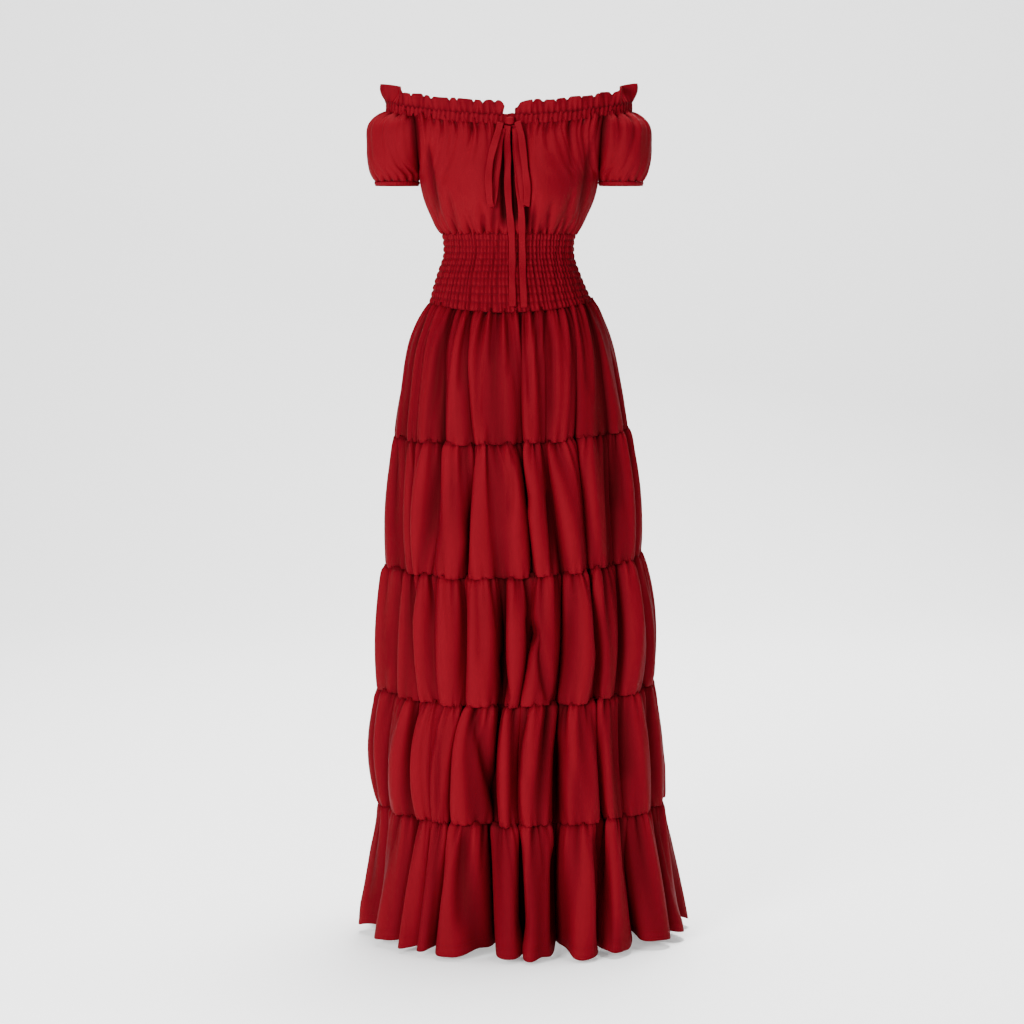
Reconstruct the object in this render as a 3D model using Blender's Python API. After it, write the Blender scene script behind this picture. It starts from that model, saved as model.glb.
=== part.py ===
"""Peasant dress: an off-the-shoulder bodice with puff sleeves, a shirred waist and a skirt of five gathered tiers.

Metres, +Z up. The front faces -Y and the wearer's left is +X. The origin is the centre of the
narrowest ring of the shirred waist, where the dress is held on its wearer. Every cloth piece is a
thin wall built on rings: a ring is a plan curve round the body at one height, and the angle round
it, in degrees, is 0 at the centre front, 90 at the wearer's left and 180 at the centre back.
"""

import math
from collections import namedtuple

import bpy
import numpy as np

MM = 0.001

# Driving sizes.
CLOTH = 1.2 * MM  # thickness of every cloth wall
SEAM_GAP = 0.3 * MM  # between two pieces that are sewn together
CASING_HEIGHT = 16 * MM  # channel of the neck elastic
NECK_SIZE = (197 * MM, 100 * MM)  # half width and depth of the plan ellipse the neck is measured on
NECK_DIP_FRONT = 22 * MM  # how much lower the neck is at the centre front than over the arms
NECK_DIP_BACK = 37 * MM  # and at the centre back
RUFFLE_HEIGHT = 15 * MM  # heading above the casing
RUFFLE_RISE = 7 * MM  # how much taller the heading stands over the arms
RUFFLE_WAVE = 4 * MM  # half the swing of its waves
RUFFLE_WAVES = 28
RUFFLE_LEAN = 2 * MM  # how far its top stands out over its foot
RUFFLE_FOOT_WAVE = 0.5 * MM  # half the swing of the waves at the seam
RUFFLE_PARTING = 7.0  # degrees each side of the centre front where there is no heading
CUFF_HEIGHT = 6 * MM
CUFF_SIZE = (34.5, 41.5)  # half width and depth at its lower edge, in millimetres
HOLLOW_SPREAD = 13.0  # degrees each side of the centre front that the tie draws in
TIE_WIDTH = 10 * MM
TIE_THICKNESS = 1.4 * MM
TIE_STEPS = 2  # steps from one stop of its route to the next
KNOT = (7.0 * MM, 4.5 * MM, 5.5 * MM)  # half sizes of the knot
KNOT_HEIGHT = 205  # millimetres, on the casing
KNOT_LIFT = 1.5  # millimetres off the casing
YOKE_POINTS = 17  # wall points across the front, and across the back
ARM_POINTS = 13  # and round a sleeve
WAIST_POINTS = 15  # across a half of the shirred waist
CUFF_POINTS = 16  # round a cuff
POINTS_A_FOLD = 4  # wall points from one trough of the skirt to the next
LONGEST_MITRE = 2.5  # how far the inner face reaches at a sharp turn, in thicknesses

# Rings of the torso, top to bottom, below the neck. Lengths are in millimetres.
Torso = namedtuple("Torso", "height half_width front back hollow")
BODICE = [
    Torso(120, 141.0, 117, 98, 7.0),
    Torso(90, 136.0, 113, 95, 6.0),
    Torso(60, 124.5, 103, 88, 3.0),
    Torso(41, 115.0, 93, 82, 1.0),
    Torso(29, 108.0, 84, 76, 0.0),
]
SHIRRING = [
    Torso(29, 107.0, 83, 75, 0.0),
    Torso(0, 104.0, 80, 74, 0.0),
    Torso(-40, 116.0, 91, 90, 0.0),
    Torso(-80, 131.0, 104, 108, 0.0),
]

# Rings of a sleeve, top to bottom. Each is an arc of an ellipse round the arm that starts at the
# front armhole seam, `opening` degrees from the innermost point. front, back and hollow are the
# bodice at that ring, and droop is the share of the neck's dip that the ring follows.
Arm = namedtuple("Arm", "height centre half_width half_depth opening front back hollow droop")
SLEEVE = [
    Arm(223, 120.0, 77.0, 70.6, 113, 100, 92, 3.0, 1.0),
    Arm(205, 146.0, 76.0, 70.0, 91, 104, 95, 6.0, 0.75),
    Arm(168, 170.0, 57.0, 61.0, 64, 113, 98, 9.0, 0.35),
    Arm(138, 180.5, 44.0, 52.0, 32, 118, 99, 9.0, 0.1),
    Arm(120, 181.0, 38.0, 45.5, 1, 117, 98, 7.0, 0.0),
    Arm(112, 179.5, 35.5, 42.5, 1, 0, 0, 0.0, 0.0),
]
NECK_HEIGHT = SLEEVE[0].height * MM + CASING_HEIGHT

# Rings of the skirt. fold is the depth of its troughs, tilt how much higher the wearer's left is
# than the middle, dip how much lower the front is, and sway how far the ring is to that left.
Ring = namedtuple("Ring", "level height half_width front back fold sway tilt dip")
SKIRT = [
    Ring(0.0, -80, 131.0, 104, 108, 3, 3, 2, 14),
    Ring(0.25, -126, 162.0, 128, 132, 8, 2, 3, 12),
    Ring(0.65, -218, 182.0, 145, 149, 14, 3, 5, 9),
    Ring(1.0, -291, 194.5, 155, 159, 19, 4, 7, 8),
    Ring(1.6, -426, 215.0, 172, 176, 33, 7, 8, 12),
    Ring(2.0, -497, 216.0, 171, 175, 27, 7, 9, 14),
    Ring(2.6, -640, 238.0, 190, 194, 41, 14, 6, 8),
    Ring(3.0, -703, 234.5, 187, 191, 34, 12, 5, 9),
    Ring(3.55, -828, 250.0, 199, 203, 46, 12, 3, 4),
    Ring(4.0, -897, 242.5, 192, 196, 38, 20, 2, 4),
    Ring(4.45, -995, 259.0, 205, 209, 56, 22, 1, 6),
    Ring(5.0, -1099, 272.0, 214, 218, 72, 25, 0, 12),
]
TIERS = [(0, 3), (3, 5), (5, 7), (7, 9), (9, 11)]  # first and last ring of each tier

# Troughs of the skirt: the angle of each at the waist seam, at the four tier seams and at the hem,
# its depth as a share of its ring's in the upper two and the lower three tiers, and how far the
# fold that follows it stands back from the outline. The first and the twelfth are the side seams.
Trough = namedtuple("Trough", "waist seam1 seam2 seam3 seam4 hem upper lower recess")
TROUGHS = [
    Trough(-92, -92, -91, -92, -94, -96, 0.80, 0.70, 3),
    Trough(-72, -67, -61, -64, -74, -77, 1.00, 1.00, 5),
    Trough(-58, -54, -49, -43, -46, -48, 0.80, 1.10, 2),
    Trough(-42, -35, -39, -33, -38, -41, 1.10, 0.35, 1),
    Trough(-27, -18, -21, -22, -30, -34, 1.10, 0.90, 0),
    Trough(-9, -11, -6, -6, -12, -12, 0.40, 1.05, 6),
    Trough(7, 6, 9, 2, -1, 0, 1.10, 0.85, 0),
    Trough(22, 17, 23, 18, 15, 14, 0.85, 1.15, 1),
    Trough(46, 33, 37, 36, 37, 30, 1.15, 1.10, 4),
    Trough(66, 59, 54, 49, 49, 50, 1.00, 0.80, 2),
    Trough(80, 77, 75, 72, 70, 67, 0.75, 0.85, 4),
    Trough(92, 93, 92, 92, 91, 90, 0.80, 0.70, 0),
    Trough(110, 112, 108, 111, 109, 108, 1.00, 0.95, 4),
    Trough(124, 128, 127, 125, 127, 126, 0.75, 1.10, 1),
    Trough(141, 142, 146, 142, 140, 143, 1.10, 0.80, 3),
    Trough(156, 155, 158, 160, 157, 158, 0.90, 1.05, 0),
    Trough(171, 172, 170, 174, 176, 174, 1.05, 0.95, 5),
    Trough(186, 184, 186, 188, 190, 192, 0.70, 1.10, 1),
    Trough(200, 201, 204, 201, 204, 207, 1.10, 0.80, 2),
    Trough(217, 215, 219, 221, 219, 221, 0.95, 1.10, 0),
    Trough(232, 233, 231, 235, 238, 237, 1.10, 0.75, 4),
    Trough(250, 252, 249, 250, 252, 251, 0.80, 1.00, 2),
]
UPPER_TO_LOWER = (1.6, 2.4)  # the levels between which the upper depths pass into the lower ones
SIDE_SEAM = 11  # the trough at the wearer's left side seam
FINE_STEPS = 81  # points that a fold is measured along
FOLD_SQUARENESS = 2.6  # 2 rounds a fold like a tube, and more flattens its face
FOLD_SWELL = 0.05  # how much wider a fold is at its face than at its foot, as a share of its depth

# Routes of the neck tie, from the knot: across the front, height, and how far it lies off the cloth.
Stop = namedtuple("Stop", "across height lift")
TAIL_RIGHT = [
    Stop(-2, 198, 3.5), Stop(-3, 180, 3), Stop(-2, 150, 3), Stop(-2, 110, 3), Stop(0, 72, 3),
    Stop(4, 34, 3), Stop(5, 5, 2.5), Stop(5, -40, 2.5), Stop(6, -84, 3),
]
TAIL_LEFT = [
    Stop(9.5, 199, 3.5), Stop(10.5, 180, 2), Stop(12, 150, 2), Stop(15, 110, 2), Stop(19, 72, 3),
    Stop(20.5, 34, 3), Stop(21, 5, 2.5), Stop(22, -40, 2.5), Stop(24, -86, 3),
]
LOOP_RIGHT = [
    Stop(-13, 203, 9.5), Stop(-18, 184, 10), Stop(-27, 153, 9), Stop(-31.5, 121, 9), Stop(-31, 98, 9),
    Stop(-29, 76, 8), Stop(-27.5, 71, 5.5), Stop(-26, 76, 3), Stop(-22, 98, 3), Stop(-19, 125, 3.5),
    Stop(-16, 155, 4.5), Stop(-13, 182, 6), Stop(-10, 194, 6),
]
LOOP_LEFT = [
    Stop(13, 204, 9), Stop(18, 188, 11), Stop(22, 160, 11), Stop(26, 124, 11), Stop(29, 98, 11),
    Stop(28, 78, 10.5), Stop(27, 72.5, 8), Stop(25, 78, 5.5), Stop(21, 98, 6), Stop(17, 125, 6),
    Stop(14, 155, 6), Stop(11, 184, 6), Stop(9.5, 194, 7),
]


def clear_scene():
    for old in list(bpy.data.objects):
        bpy.data.objects.remove(old, do_unlink=True)


def cloth_material(name, colour, roughness):
    """A plain dyed cloth."""
    material = bpy.data.materials.new(name)
    material.use_nodes = True
    shader = material.node_tree.nodes["Principled BSDF"]
    shader.inputs["Base Color"].default_value = (*colour, 1.0)
    shader.inputs["Roughness"].default_value = roughness
    shader.inputs["Metallic"].default_value = 0.0
    return material


def triangles(face):
    """A face cut into triangles, so that each one is flat."""
    return [(face[0], face[i], face[i + 1]) for i in range(1, len(face) - 1)]


def add_mesh(name, points, faces, material):
    """An object of its own for one piece, in place in the frame."""
    mesh = bpy.data.meshes.new(name)
    mesh.from_pydata([tuple(p) for p in points], [], [t for face in faces for t in triangles(face)])
    mesh.materials.append(material)
    mesh.update()
    made = bpy.data.objects.new(name, mesh)
    bpy.context.scene.collection.objects.link(made)
    return made


def outward(row, closed):
    """Level normals of a row of points that runs round the body with rising angle.

    Each halves the turn between its two steps, and is longer where they turn sharply, so that a row
    moved along it keeps its distance from both.
    """
    if closed:
        step = np.roll(row, -1, axis=0) - row
        before = np.roll(step, 1, axis=0)
    else:
        step = np.diff(row, axis=0)
        before = np.vstack([step[:1], step])
        step = np.vstack([step, step[-1:]])
    sides = [np.column_stack([s[:, 1], -s[:, 0], 0 * s[:, 0]]) for s in (before, step)]
    sides = [side / np.linalg.norm(side, axis=1)[:, None] for side in sides]
    middle = sides[0] + sides[1]
    middle /= np.linalg.norm(middle, axis=1)[:, None]
    turn = np.sum(middle * sides[1], axis=1)
    return middle / np.maximum(turn, 1 / LONGEST_MITRE)[:, None]


def add_wall(name, rows, material, closed=False):
    """A cloth wall: rows of points on its outer face, top to bottom, and the same points moved in."""
    outer = np.array(rows, float)
    inner = np.array([row - CLOTH * outward(row, closed) for row in outer])
    lines, columns = outer.shape[:2]
    points = np.concatenate([outer.reshape(-1, 3), inner.reshape(-1, 3)])
    behind = lines * columns

    def at(line, column):
        return line * columns + column % columns

    last = columns if closed else columns - 1
    faces = []
    for i in range(lines - 1):
        for j in range(last):
            quad = [at(i, j), at(i + 1, j), at(i + 1, j + 1), at(i, j + 1)]
            faces.append(quad)
            # The inner face turns the other way, and is cut along the same diagonal.
            faces.append([q + behind for q in (quad[0], quad[3], quad[2], quad[1])])
    for j in range(last):
        faces.append([at(0, j), at(0, j + 1), at(0, j + 1) + behind, at(0, j) + behind])
        low = lines - 1
        faces.append([at(low, j + 1), at(low, j), at(low, j) + behind, at(low, j + 1) + behind])
    if not closed:
        end = columns - 1
        for i in range(lines - 1):
            faces.append([at(i + 1, 0), at(i, 0), at(i, 0) + behind, at(i + 1, 0) + behind])
            faces.append([at(i, end), at(i + 1, end), at(i + 1, end) + behind, at(i, end) + behind])
    return add_mesh(name, points, faces, material)


# Torso -----------------------------------------------------------------------------------------


def torso_point(size, angle, depth):
    """A point in plan on a torso ring. The centre front is drawn in by the tie, by `hollow`."""
    turn = math.radians(angle)
    y = -depth * math.cos(turn)
    if abs(angle) < 90:
        y += size.hollow * math.exp(-((angle / HOLLOW_SPREAD) ** 2))
    return size.half_width * math.sin(turn) * MM, y * MM


def armhole_angle(arm, depth):
    """The angle at which a torso ring of that depth meets the armhole of a sleeve ring."""
    reach = arm.half_depth * math.sin(math.radians(arm.opening))
    return math.degrees(math.acos(min(reach / depth, 1.0)))


def armhole_across(arm):
    """How far from the middle the armhole seam is, in millimetres."""
    return arm.centre - arm.half_width * math.cos(math.radians(arm.opening))


def neck_dip(x, y):
    """How much lower the neck is at a point round it than over the arms, in metres."""
    width, depth = NECK_SIZE
    level = math.cos(math.atan2(x / width, -y / depth)) ** 2
    return (NECK_DIP_FRONT if y < 0 else NECK_DIP_BACK) * level


def arm_height(arm, x, y):
    """The height of a sleeve ring, or of the bodice at it, at a point in plan."""
    gap = SEAM_GAP if arm is SLEEVE[0] else 0.0
    return arm.height * MM - gap - arm.droop * neck_dip(x, y)


def yoke_row(arm, back):
    """A bodice row between the two armholes, at a sleeve ring, across the front or the back."""
    depth = arm.back if back else arm.front
    edge = armhole_angle(arm, depth)
    half = armhole_across(arm) / math.sin(math.radians(edge))
    size = Torso(arm.height, half, arm.front, arm.back, 0.0 if back else arm.hollow)
    side = -1 if back else 1
    row = []
    for angle in np.linspace(-edge, edge, YOKE_POINTS):
        x, y = torso_point(size, angle, depth)
        row.append((side * x, side * y, arm_height(arm, side * x, side * y)))
    return np.array(row)


def trimmed(row, gap):
    """A row of points with its two ends drawn in along itself by the gap."""
    row = row.copy()
    for end, beside in ((0, 1), (-1, -2)):
        step = row[beside] - row[end]
        row[end] += step * gap / np.linalg.norm(step)
    return row


def bodice_rows(back):
    """The rows of a bodice half, from the neck to the shirring."""
    rows = [yoke_row(arm, back) for arm in SLEEVE[:4]]
    half_turn = np.linspace(-90, 90, YOKE_POINTS)
    for size in BODICE:
        depth = size.back if back else size.front
        plain = size._replace(hollow=0 if back else size.hollow)
        row = np.array([(*torso_point(plain, angle, depth), size.height * MM) for angle in half_turn])
        rows.append(row * (-1, -1, 1) if back else row)
    rows[-1][:, 2] += SEAM_GAP / 2
    return [trimmed(row, SEAM_GAP) for row in rows]


def shirring_rows(back):
    """The rows of a half of the shirred waist."""
    angles = np.linspace(-90, 90, WAIST_POINTS)
    rows = []
    for size in SHIRRING:
        depth = size.back if back else size.front
        row = np.array([(*torso_point(size, angle, depth), size.height * MM) for angle in angles])
        rows.append(row * (-1, -1, 1) if back else row)
    ring = SKIRT[0]
    rows[-1][:, 0] += ring.sway * MM
    rows[-1][:, 2] = [seam_height(ring, x, y) + SEAM_GAP / 2 for x, y, _ in rows[-1]]
    rows[0][:, 2] -= SEAM_GAP / 2
    return [trimmed(row, SEAM_GAP) for row in rows]


# Sleeves and neck ------------------------------------------------------------------------------


def sleeve_row(arm, side):
    """A row of a sleeve, from the front armhole seam round the arm to the back one."""
    row = []
    for turn in np.linspace(arm.opening, 360 - arm.opening, ARM_POINTS):
        x = (arm.centre - arm.half_width * math.cos(math.radians(turn))) * MM
        y = -arm.half_depth * math.sin(math.radians(turn)) * MM
        row.append((side * x, y, arm_height(arm, x, y)))
    row = np.array(row)
    return row if side > 0 else row[::-1]


def sleeve_rows(side):
    rows = [sleeve_row(arm, side) for arm in SLEEVE]
    rows[-1][:, 2] += SEAM_GAP / 2
    return rows


def cuff_rows(side):
    """The elastic edge of a sleeve."""
    top = SLEEVE[-1]
    width, depth = CUFF_SIZE
    low = top._replace(height=top.height - CUFF_HEIGHT / MM, half_width=width, half_depth=depth)
    rows = []
    for arm in (top, low):
        row = []
        for turn in np.linspace(0, 360, CUFF_POINTS, endpoint=False):
            x = arm.centre - arm.half_width * math.cos(math.radians(turn))
            y = -arm.half_depth * math.sin(math.radians(turn))
            row.append((side * x * MM, y * MM, arm.height * MM))
        rows.append(np.array(row if side > 0 else row[::-1]))
    rows[0][:, 2] -= SEAM_GAP / 2
    return rows


def neck_ring():
    """The closed plan curve of the neck: (angle, x, y) from the centre back round by the right."""
    arm = SLEEVE[0]
    ring = []
    for back in (False, True):
        depth = arm.back if back else arm.front
        edge = armhole_angle(arm, depth)
        half = armhole_across(arm) / math.sin(math.radians(edge))
        for angle in np.linspace(-edge, edge, YOKE_POINTS):
            x, y = torso_point(Torso(0, half, 0, 0, 0 if back else arm.hollow), angle, depth)
            ring.append((-x, -y) if back else (x, y))
        side = 1 if not back else -1
        for turn in np.linspace(arm.opening, 360 - arm.opening, ARM_POINTS)[1:-1]:
            x = (arm.centre - arm.half_width * math.cos(math.radians(turn))) * MM
            y = -arm.half_depth * math.sin(math.radians(turn)) * MM
            ring.append((side * x, side * y))
    ring = np.array([(x, y, 0.0) for x, y in ring])
    angles = np.degrees(np.arctan2(ring[:, 0] / NECK_SIZE[0], -ring[:, 1] / NECK_SIZE[1]))
    return angles, ring


def casing_rows():
    _, ring = neck_ring()
    tops = np.array([NECK_HEIGHT - neck_dip(x, y) for x, y, _ in ring])
    rows = []
    for drop in (0.0, CASING_HEIGHT):
        row = ring.copy()
        row[:, 2] = tops - drop
        rows.append(row)
    return rows


def along_ring(ring, angles, wanted):
    """Points of the neck ring at the wanted angles."""
    order = np.argsort(angles)
    keys = np.concatenate([angles[order] - 360, angles[order], angles[order] + 360])
    points = np.concatenate([ring[order]] * 3)
    return np.stack([np.interp(wanted, keys, points[:, k]) for k in range(3)], axis=1)


def ruffle_rows():
    """The frilled heading above the casing, open at the centre front."""
    angles, ring = neck_ring()
    steps = 2 * RUFFLE_WAVES + 1
    wanted = np.linspace(RUFFLE_PARTING, 360 - RUFFLE_PARTING, steps)
    foot = along_ring(ring, angles, wanted)
    normal = outward(foot, False)
    tops = np.array([NECK_HEIGHT - neck_dip(x, y) for x, y, _ in foot])
    rise = RUFFLE_HEIGHT + RUFFLE_RISE * np.sin(np.radians(wanted)) ** 2
    wave = np.where(np.arange(steps) % 2, 1.0, -1.0)[:, None]
    rows = []
    for share, swing in ((1.0, RUFFLE_WAVE), (0.0, RUFFLE_FOOT_WAVE)):
        row = foot + normal * (swing * wave + RUFFLE_LEAN * share)
        row[:, 2] = tops + SEAM_GAP + rise * share
        rows.append(row)
    return rows


# Skirt -----------------------------------------------------------------------------------------


def seam_height(ring, x, y):
    """The height of a skirt ring at a point in plan, in metres."""
    forward = max(-y / (ring.front * MM), 0.0)
    return (ring.height + ring.tilt * x / (ring.half_width * MM) - ring.dip * forward**2) * MM


def trough_at(trough, level):
    """The angle of a trough and its depth share at a level: 0 is the waist seam and 5 the hem."""
    angle = float(np.interp(level, range(6), trough[:6]))
    share = float(np.interp(level, UPPER_TO_LOWER, [trough.upper, trough.lower]))
    return angle, share


def envelope(ring, angle):
    """The point of a ring's outline at an angle, and its level normal."""
    turn = math.radians(angle)
    depth = ring.front if math.cos(turn) > 0 else ring.back
    point = np.array([ring.half_width * math.sin(turn) + ring.sway, -depth * math.cos(turn)])
    normal = np.array([math.sin(turn) / ring.half_width, -math.cos(turn) / depth])
    return point, normal / np.linalg.norm(normal)


def fold_points(ring, start, end, recess, count):
    """One fold, from trough to trough: its cross-section, spaced evenly along the cloth."""
    (from_angle, from_depth), (to_angle, to_depth) = start, end
    fine = []
    for share in np.linspace(0, 1, FINE_STEPS):
        point, normal = envelope(ring, from_angle + share * (to_angle - from_angle))
        trough = from_depth + (to_depth - from_depth) * share
        arch = (1 - abs(2 * share - 1) ** FOLD_SQUARENESS) ** 0.5
        inward = trough + (min(recess, trough) - trough) * arch
        aside = FOLD_SWELL * trough * math.sin(2 * math.pi * share)
        along = np.array([-normal[1], normal[0]])
        fine.append(point - inward * normal - aside * along)
    fine = np.array(fine)
    run = np.concatenate([[0], np.cumsum(np.linalg.norm(np.diff(fine, axis=0), axis=1))])
    at = np.linspace(0, run[-1], count + 1)
    return np.stack([np.interp(at, run, fine[:, k]) for k in range(2)], axis=1)


def skirt_row(ring, first, last):
    """A row of a tier panel, over the folds from one side seam to the other."""
    row = []
    for i in range(first, last):
        ends = []
        for j in (i, i + 1):
            angle, share = trough_at(TROUGHS[j % len(TROUGHS)], ring.level)
            ends.append((angle + 360 * (j // len(TROUGHS)), share * ring.fold))
        fold = fold_points(ring, *ends, TROUGHS[i].recess * min(ring.level, 1), POINTS_A_FOLD)
        row += list(fold if i == last - 1 else fold[:-1])
    row = np.array(row) * MM
    return np.column_stack([row, [seam_height(ring, x, y) for x, y in row]])


def tier_rows(tier, back):
    first, last = TIERS[tier]
    folds = (SIDE_SEAM, len(TROUGHS)) if back else (0, SIDE_SEAM)
    rows = [skirt_row(ring, *folds) for ring in SKIRT[first : last + 1]]
    rows[0][:, 2] -= SEAM_GAP / 2
    if tier < len(TIERS) - 1:
        rows[-1][:, 2] += SEAM_GAP / 2
    return [trimmed(row, SEAM_GAP) for row in rows]


# Tie -------------------------------------------------------------------------------------------


def front_surface(across, height):
    """The place in Y of the front panels' outer face, for what lies on them. All in millimetres."""
    crossings = []
    for row in FRONT_ROWS:
        level, depth = (np.interp(across * MM, row[:, 0], row[:, k]) / MM for k in (2, 1))
        crossings.append((level, depth))
    levels, depths = zip(*sorted(crossings))
    return np.interp(height, levels, depths)


def route(stops, aside):
    """A smooth line over the panels through the stops of a route, moved aside, in metres."""
    points = np.array(stops, float)
    padded = np.vstack([2 * points[0] - points[1], points, 2 * points[-1] - points[-2]])
    line = []
    for i in range(len(points) - 1):
        a, b, c, d = padded[i : i + 4]
        for t in np.arange(TIE_STEPS) / TIE_STEPS:
            bend = (c - a) * t + (2 * a - 5 * b + 4 * c - d) * t**2 + (3 * b - a - 3 * c + d) * t**3
            line.append(b + bend / 2)
    line.append(points[-1])
    places = [(x + aside, front_surface(x + aside, z) - lift, z) for x, z, lift in line]
    return np.array(places) * MM


def add_strip(name, stops, material):
    """A flat tie along a route, both its edges lying over the panels."""
    half = TIE_WIDTH / 2 / MM
    left, right = route(stops, -half), route(stops, half)
    face = np.cross(right - left, np.gradient((left + right) / 2, axis=0))
    deep = face / np.linalg.norm(face, axis=1)[:, None] * TIE_THICKNESS / 2
    corners = [left - deep, right - deep, right + deep, left + deep]
    points = np.stack(corners, axis=1).reshape(-1, 3)
    faces = [[0, 1, 2, 3]]
    for i in range(len(left) - 1):
        for k in range(4):
            a, b = 4 * i + k, 4 * i + (k + 1) % 4
            faces.append([b, a, a + 4, b + 4])
    end = 4 * (len(left) - 1)
    faces.append([end + 3, end + 2, end + 1, end])
    return add_mesh(name, points, faces, material)


def add_knot(name, material):
    """The knot of the tie, a soft rounded block on the casing."""
    points = []
    faces = []
    around, along = 10, 5
    face = (front_surface(0, KNOT_HEIGHT) - KNOT_LIFT) * MM
    centre = (0.0, face - KNOT[1], KNOT_HEIGHT * MM)
    for i in range(1, along):
        lean = math.pi * i / along
        for j in range(around):
            turn = 2 * math.pi * j / around
            ball = (math.sin(lean) * math.cos(turn), math.sin(lean) * math.sin(turn), math.cos(lean))
            points.append([c + r * b for c, r, b in zip(centre, KNOT, ball)])
    for i in range(along - 2):
        for j in range(around):
            a, b = i * around + j, i * around + (j + 1) % around
            faces.append([a, a + around, b + around, b])
    faces.append(list(range(around)))
    faces.append(list(range((along - 1) * around - 1, (along - 2) * around - 1, -1)))
    return add_mesh(name, points, faces, material)


FRONT_ROWS = bodice_rows(False) + shirring_rows(False)


def main():
    clear_scene()
    cloth = cloth_material("wine_red_cloth", (0.27, 0.006, 0.012), 0.62)
    tie = cloth_material("wine_red_tie", (0.30, 0.007, 0.015), 0.6)
    add_wall("bodice_front", bodice_rows(False), cloth)
    add_wall("bodice_back", bodice_rows(True), cloth)
    add_wall("shirring_front", shirring_rows(False), cloth)
    add_wall("shirring_back", shirring_rows(True), cloth)
    for name, side in (("left", 1), ("right", -1)):
        add_wall("sleeve_" + name, sleeve_rows(side), cloth)
        add_wall("cuff_" + name, cuff_rows(side), cloth, closed=True)
    add_wall("neck_casing", casing_rows(), cloth, closed=True)
    add_wall("neck_ruffle", ruffle_rows(), cloth)
    for tier in range(len(TIERS)):
        add_wall(f"tier_{tier + 1}_front", tier_rows(tier, False), cloth)
        add_wall(f"tier_{tier + 1}_back", tier_rows(tier, True), cloth)
    add_knot("tie_knot", tie)
    add_strip("tie_tail_right", TAIL_RIGHT, tie)
    add_strip("tie_tail_left", TAIL_LEFT, tie)
    add_strip("tie_loop_right", LOOP_RIGHT, tie)
    add_strip("tie_loop_left", LOOP_LEFT, tie)


main()
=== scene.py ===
"""Peasant dress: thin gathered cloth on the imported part, with its tie, stitching, floor and light.

Sizes in the tables are in millimetres and angles in degrees. The angle round the body is 0 at the
centre front, 90 at the wearer's left and 180 at the centre back.
"""

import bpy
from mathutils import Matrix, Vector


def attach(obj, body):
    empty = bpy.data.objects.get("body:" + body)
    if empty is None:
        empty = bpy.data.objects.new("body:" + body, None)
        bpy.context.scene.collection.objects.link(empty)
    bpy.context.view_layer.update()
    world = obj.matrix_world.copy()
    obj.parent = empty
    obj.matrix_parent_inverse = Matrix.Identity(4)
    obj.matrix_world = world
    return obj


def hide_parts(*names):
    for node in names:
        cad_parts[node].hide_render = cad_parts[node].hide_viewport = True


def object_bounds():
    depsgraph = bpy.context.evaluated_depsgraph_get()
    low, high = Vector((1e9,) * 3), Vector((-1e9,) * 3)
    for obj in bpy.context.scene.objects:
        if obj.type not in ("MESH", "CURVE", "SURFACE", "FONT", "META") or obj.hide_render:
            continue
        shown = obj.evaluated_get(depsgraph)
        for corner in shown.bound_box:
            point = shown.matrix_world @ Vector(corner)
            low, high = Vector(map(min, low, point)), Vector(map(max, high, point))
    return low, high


bl_info = {
    "name": "Peasant dress",
    "version": (1, 0, 0),
    "blender": (4, 5, 0),
    "location": "3D View > Sidebar > Dress",
    "description": "Builds the cloth of a tiered off-the-shoulder dress round its part",
    "category": "Object",
}

import math
from collections import namedtuple

import bpy
import numpy as np
from bpy.props import FloatProperty, FloatVectorProperty, IntProperty, PointerProperty
from mathutils import Vector

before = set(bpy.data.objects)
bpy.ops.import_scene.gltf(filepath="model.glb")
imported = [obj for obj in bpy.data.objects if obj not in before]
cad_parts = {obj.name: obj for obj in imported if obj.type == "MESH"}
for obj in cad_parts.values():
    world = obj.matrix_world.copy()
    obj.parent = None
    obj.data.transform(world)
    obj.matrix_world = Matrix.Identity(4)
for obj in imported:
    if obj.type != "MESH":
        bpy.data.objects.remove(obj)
CAD_BOX = [[float(value) for value in corner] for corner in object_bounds()]
MM = 0.001

# Form --------------------------------------------------------------------------------------------

# Rings of the torso, top to bottom. hollow is how far the tie draws the centre front in.
Torso = namedtuple("Torso", "height half_width front back hollow")
BODICE = [
    Torso(120, 141.0, 117, 98, 7.0),
    Torso(90, 136.0, 113, 95, 6.0),
    Torso(60, 124.5, 103, 88, 3.0),
    Torso(41, 115.0, 93, 82, 1.0),
    Torso(29, 108.0, 84, 76, 0.0),
]
SHIRRING = [
    Torso(29, 107.0, 83, 75, 0.0),
    Torso(0, 104.0, 80, 74, 0.0),
    Torso(-40, 116.0, 91, 90, 0.0),
    Torso(-80, 131.0, 104, 108, 0.0),
]

# Rings of a sleeve, top to bottom: arcs of an ellipse round the arm that start at the front armhole
# seam, `opening` degrees from the innermost point. front, back and hollow are the bodice there, and
# droop is the share of the neck's dip that the ring follows.
Arm = namedtuple("Arm", "height centre half_width half_depth opening front back hollow droop")
SLEEVE = [
    Arm(223, 120.0, 77.0, 70.6, 113, 100, 92, 3.0, 1.0),
    Arm(205, 146.0, 76.0, 70.0, 91, 104, 95, 6.0, 0.75),
    Arm(168, 170.0, 57.0, 61.0, 64, 113, 98, 9.0, 0.35),
    Arm(138, 180.5, 44.0, 52.0, 32, 118, 99, 9.0, 0.1),
    Arm(120, 181.0, 38.0, 45.5, 1, 117, 98, 7.0, 0.0),
    Arm(112, 179.5, 35.5, 42.5, 1, 0, 0, 0.0, 0.0),
]
NECK_SIZE = (197 * MM, 100 * MM)
NECK_DIP_FRONT = 22 * MM
NECK_DIP_BACK = 37 * MM
CASING_HEIGHT = 16 * MM
NECK_HEIGHT = SLEEVE[0].height * MM + CASING_HEIGHT

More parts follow.
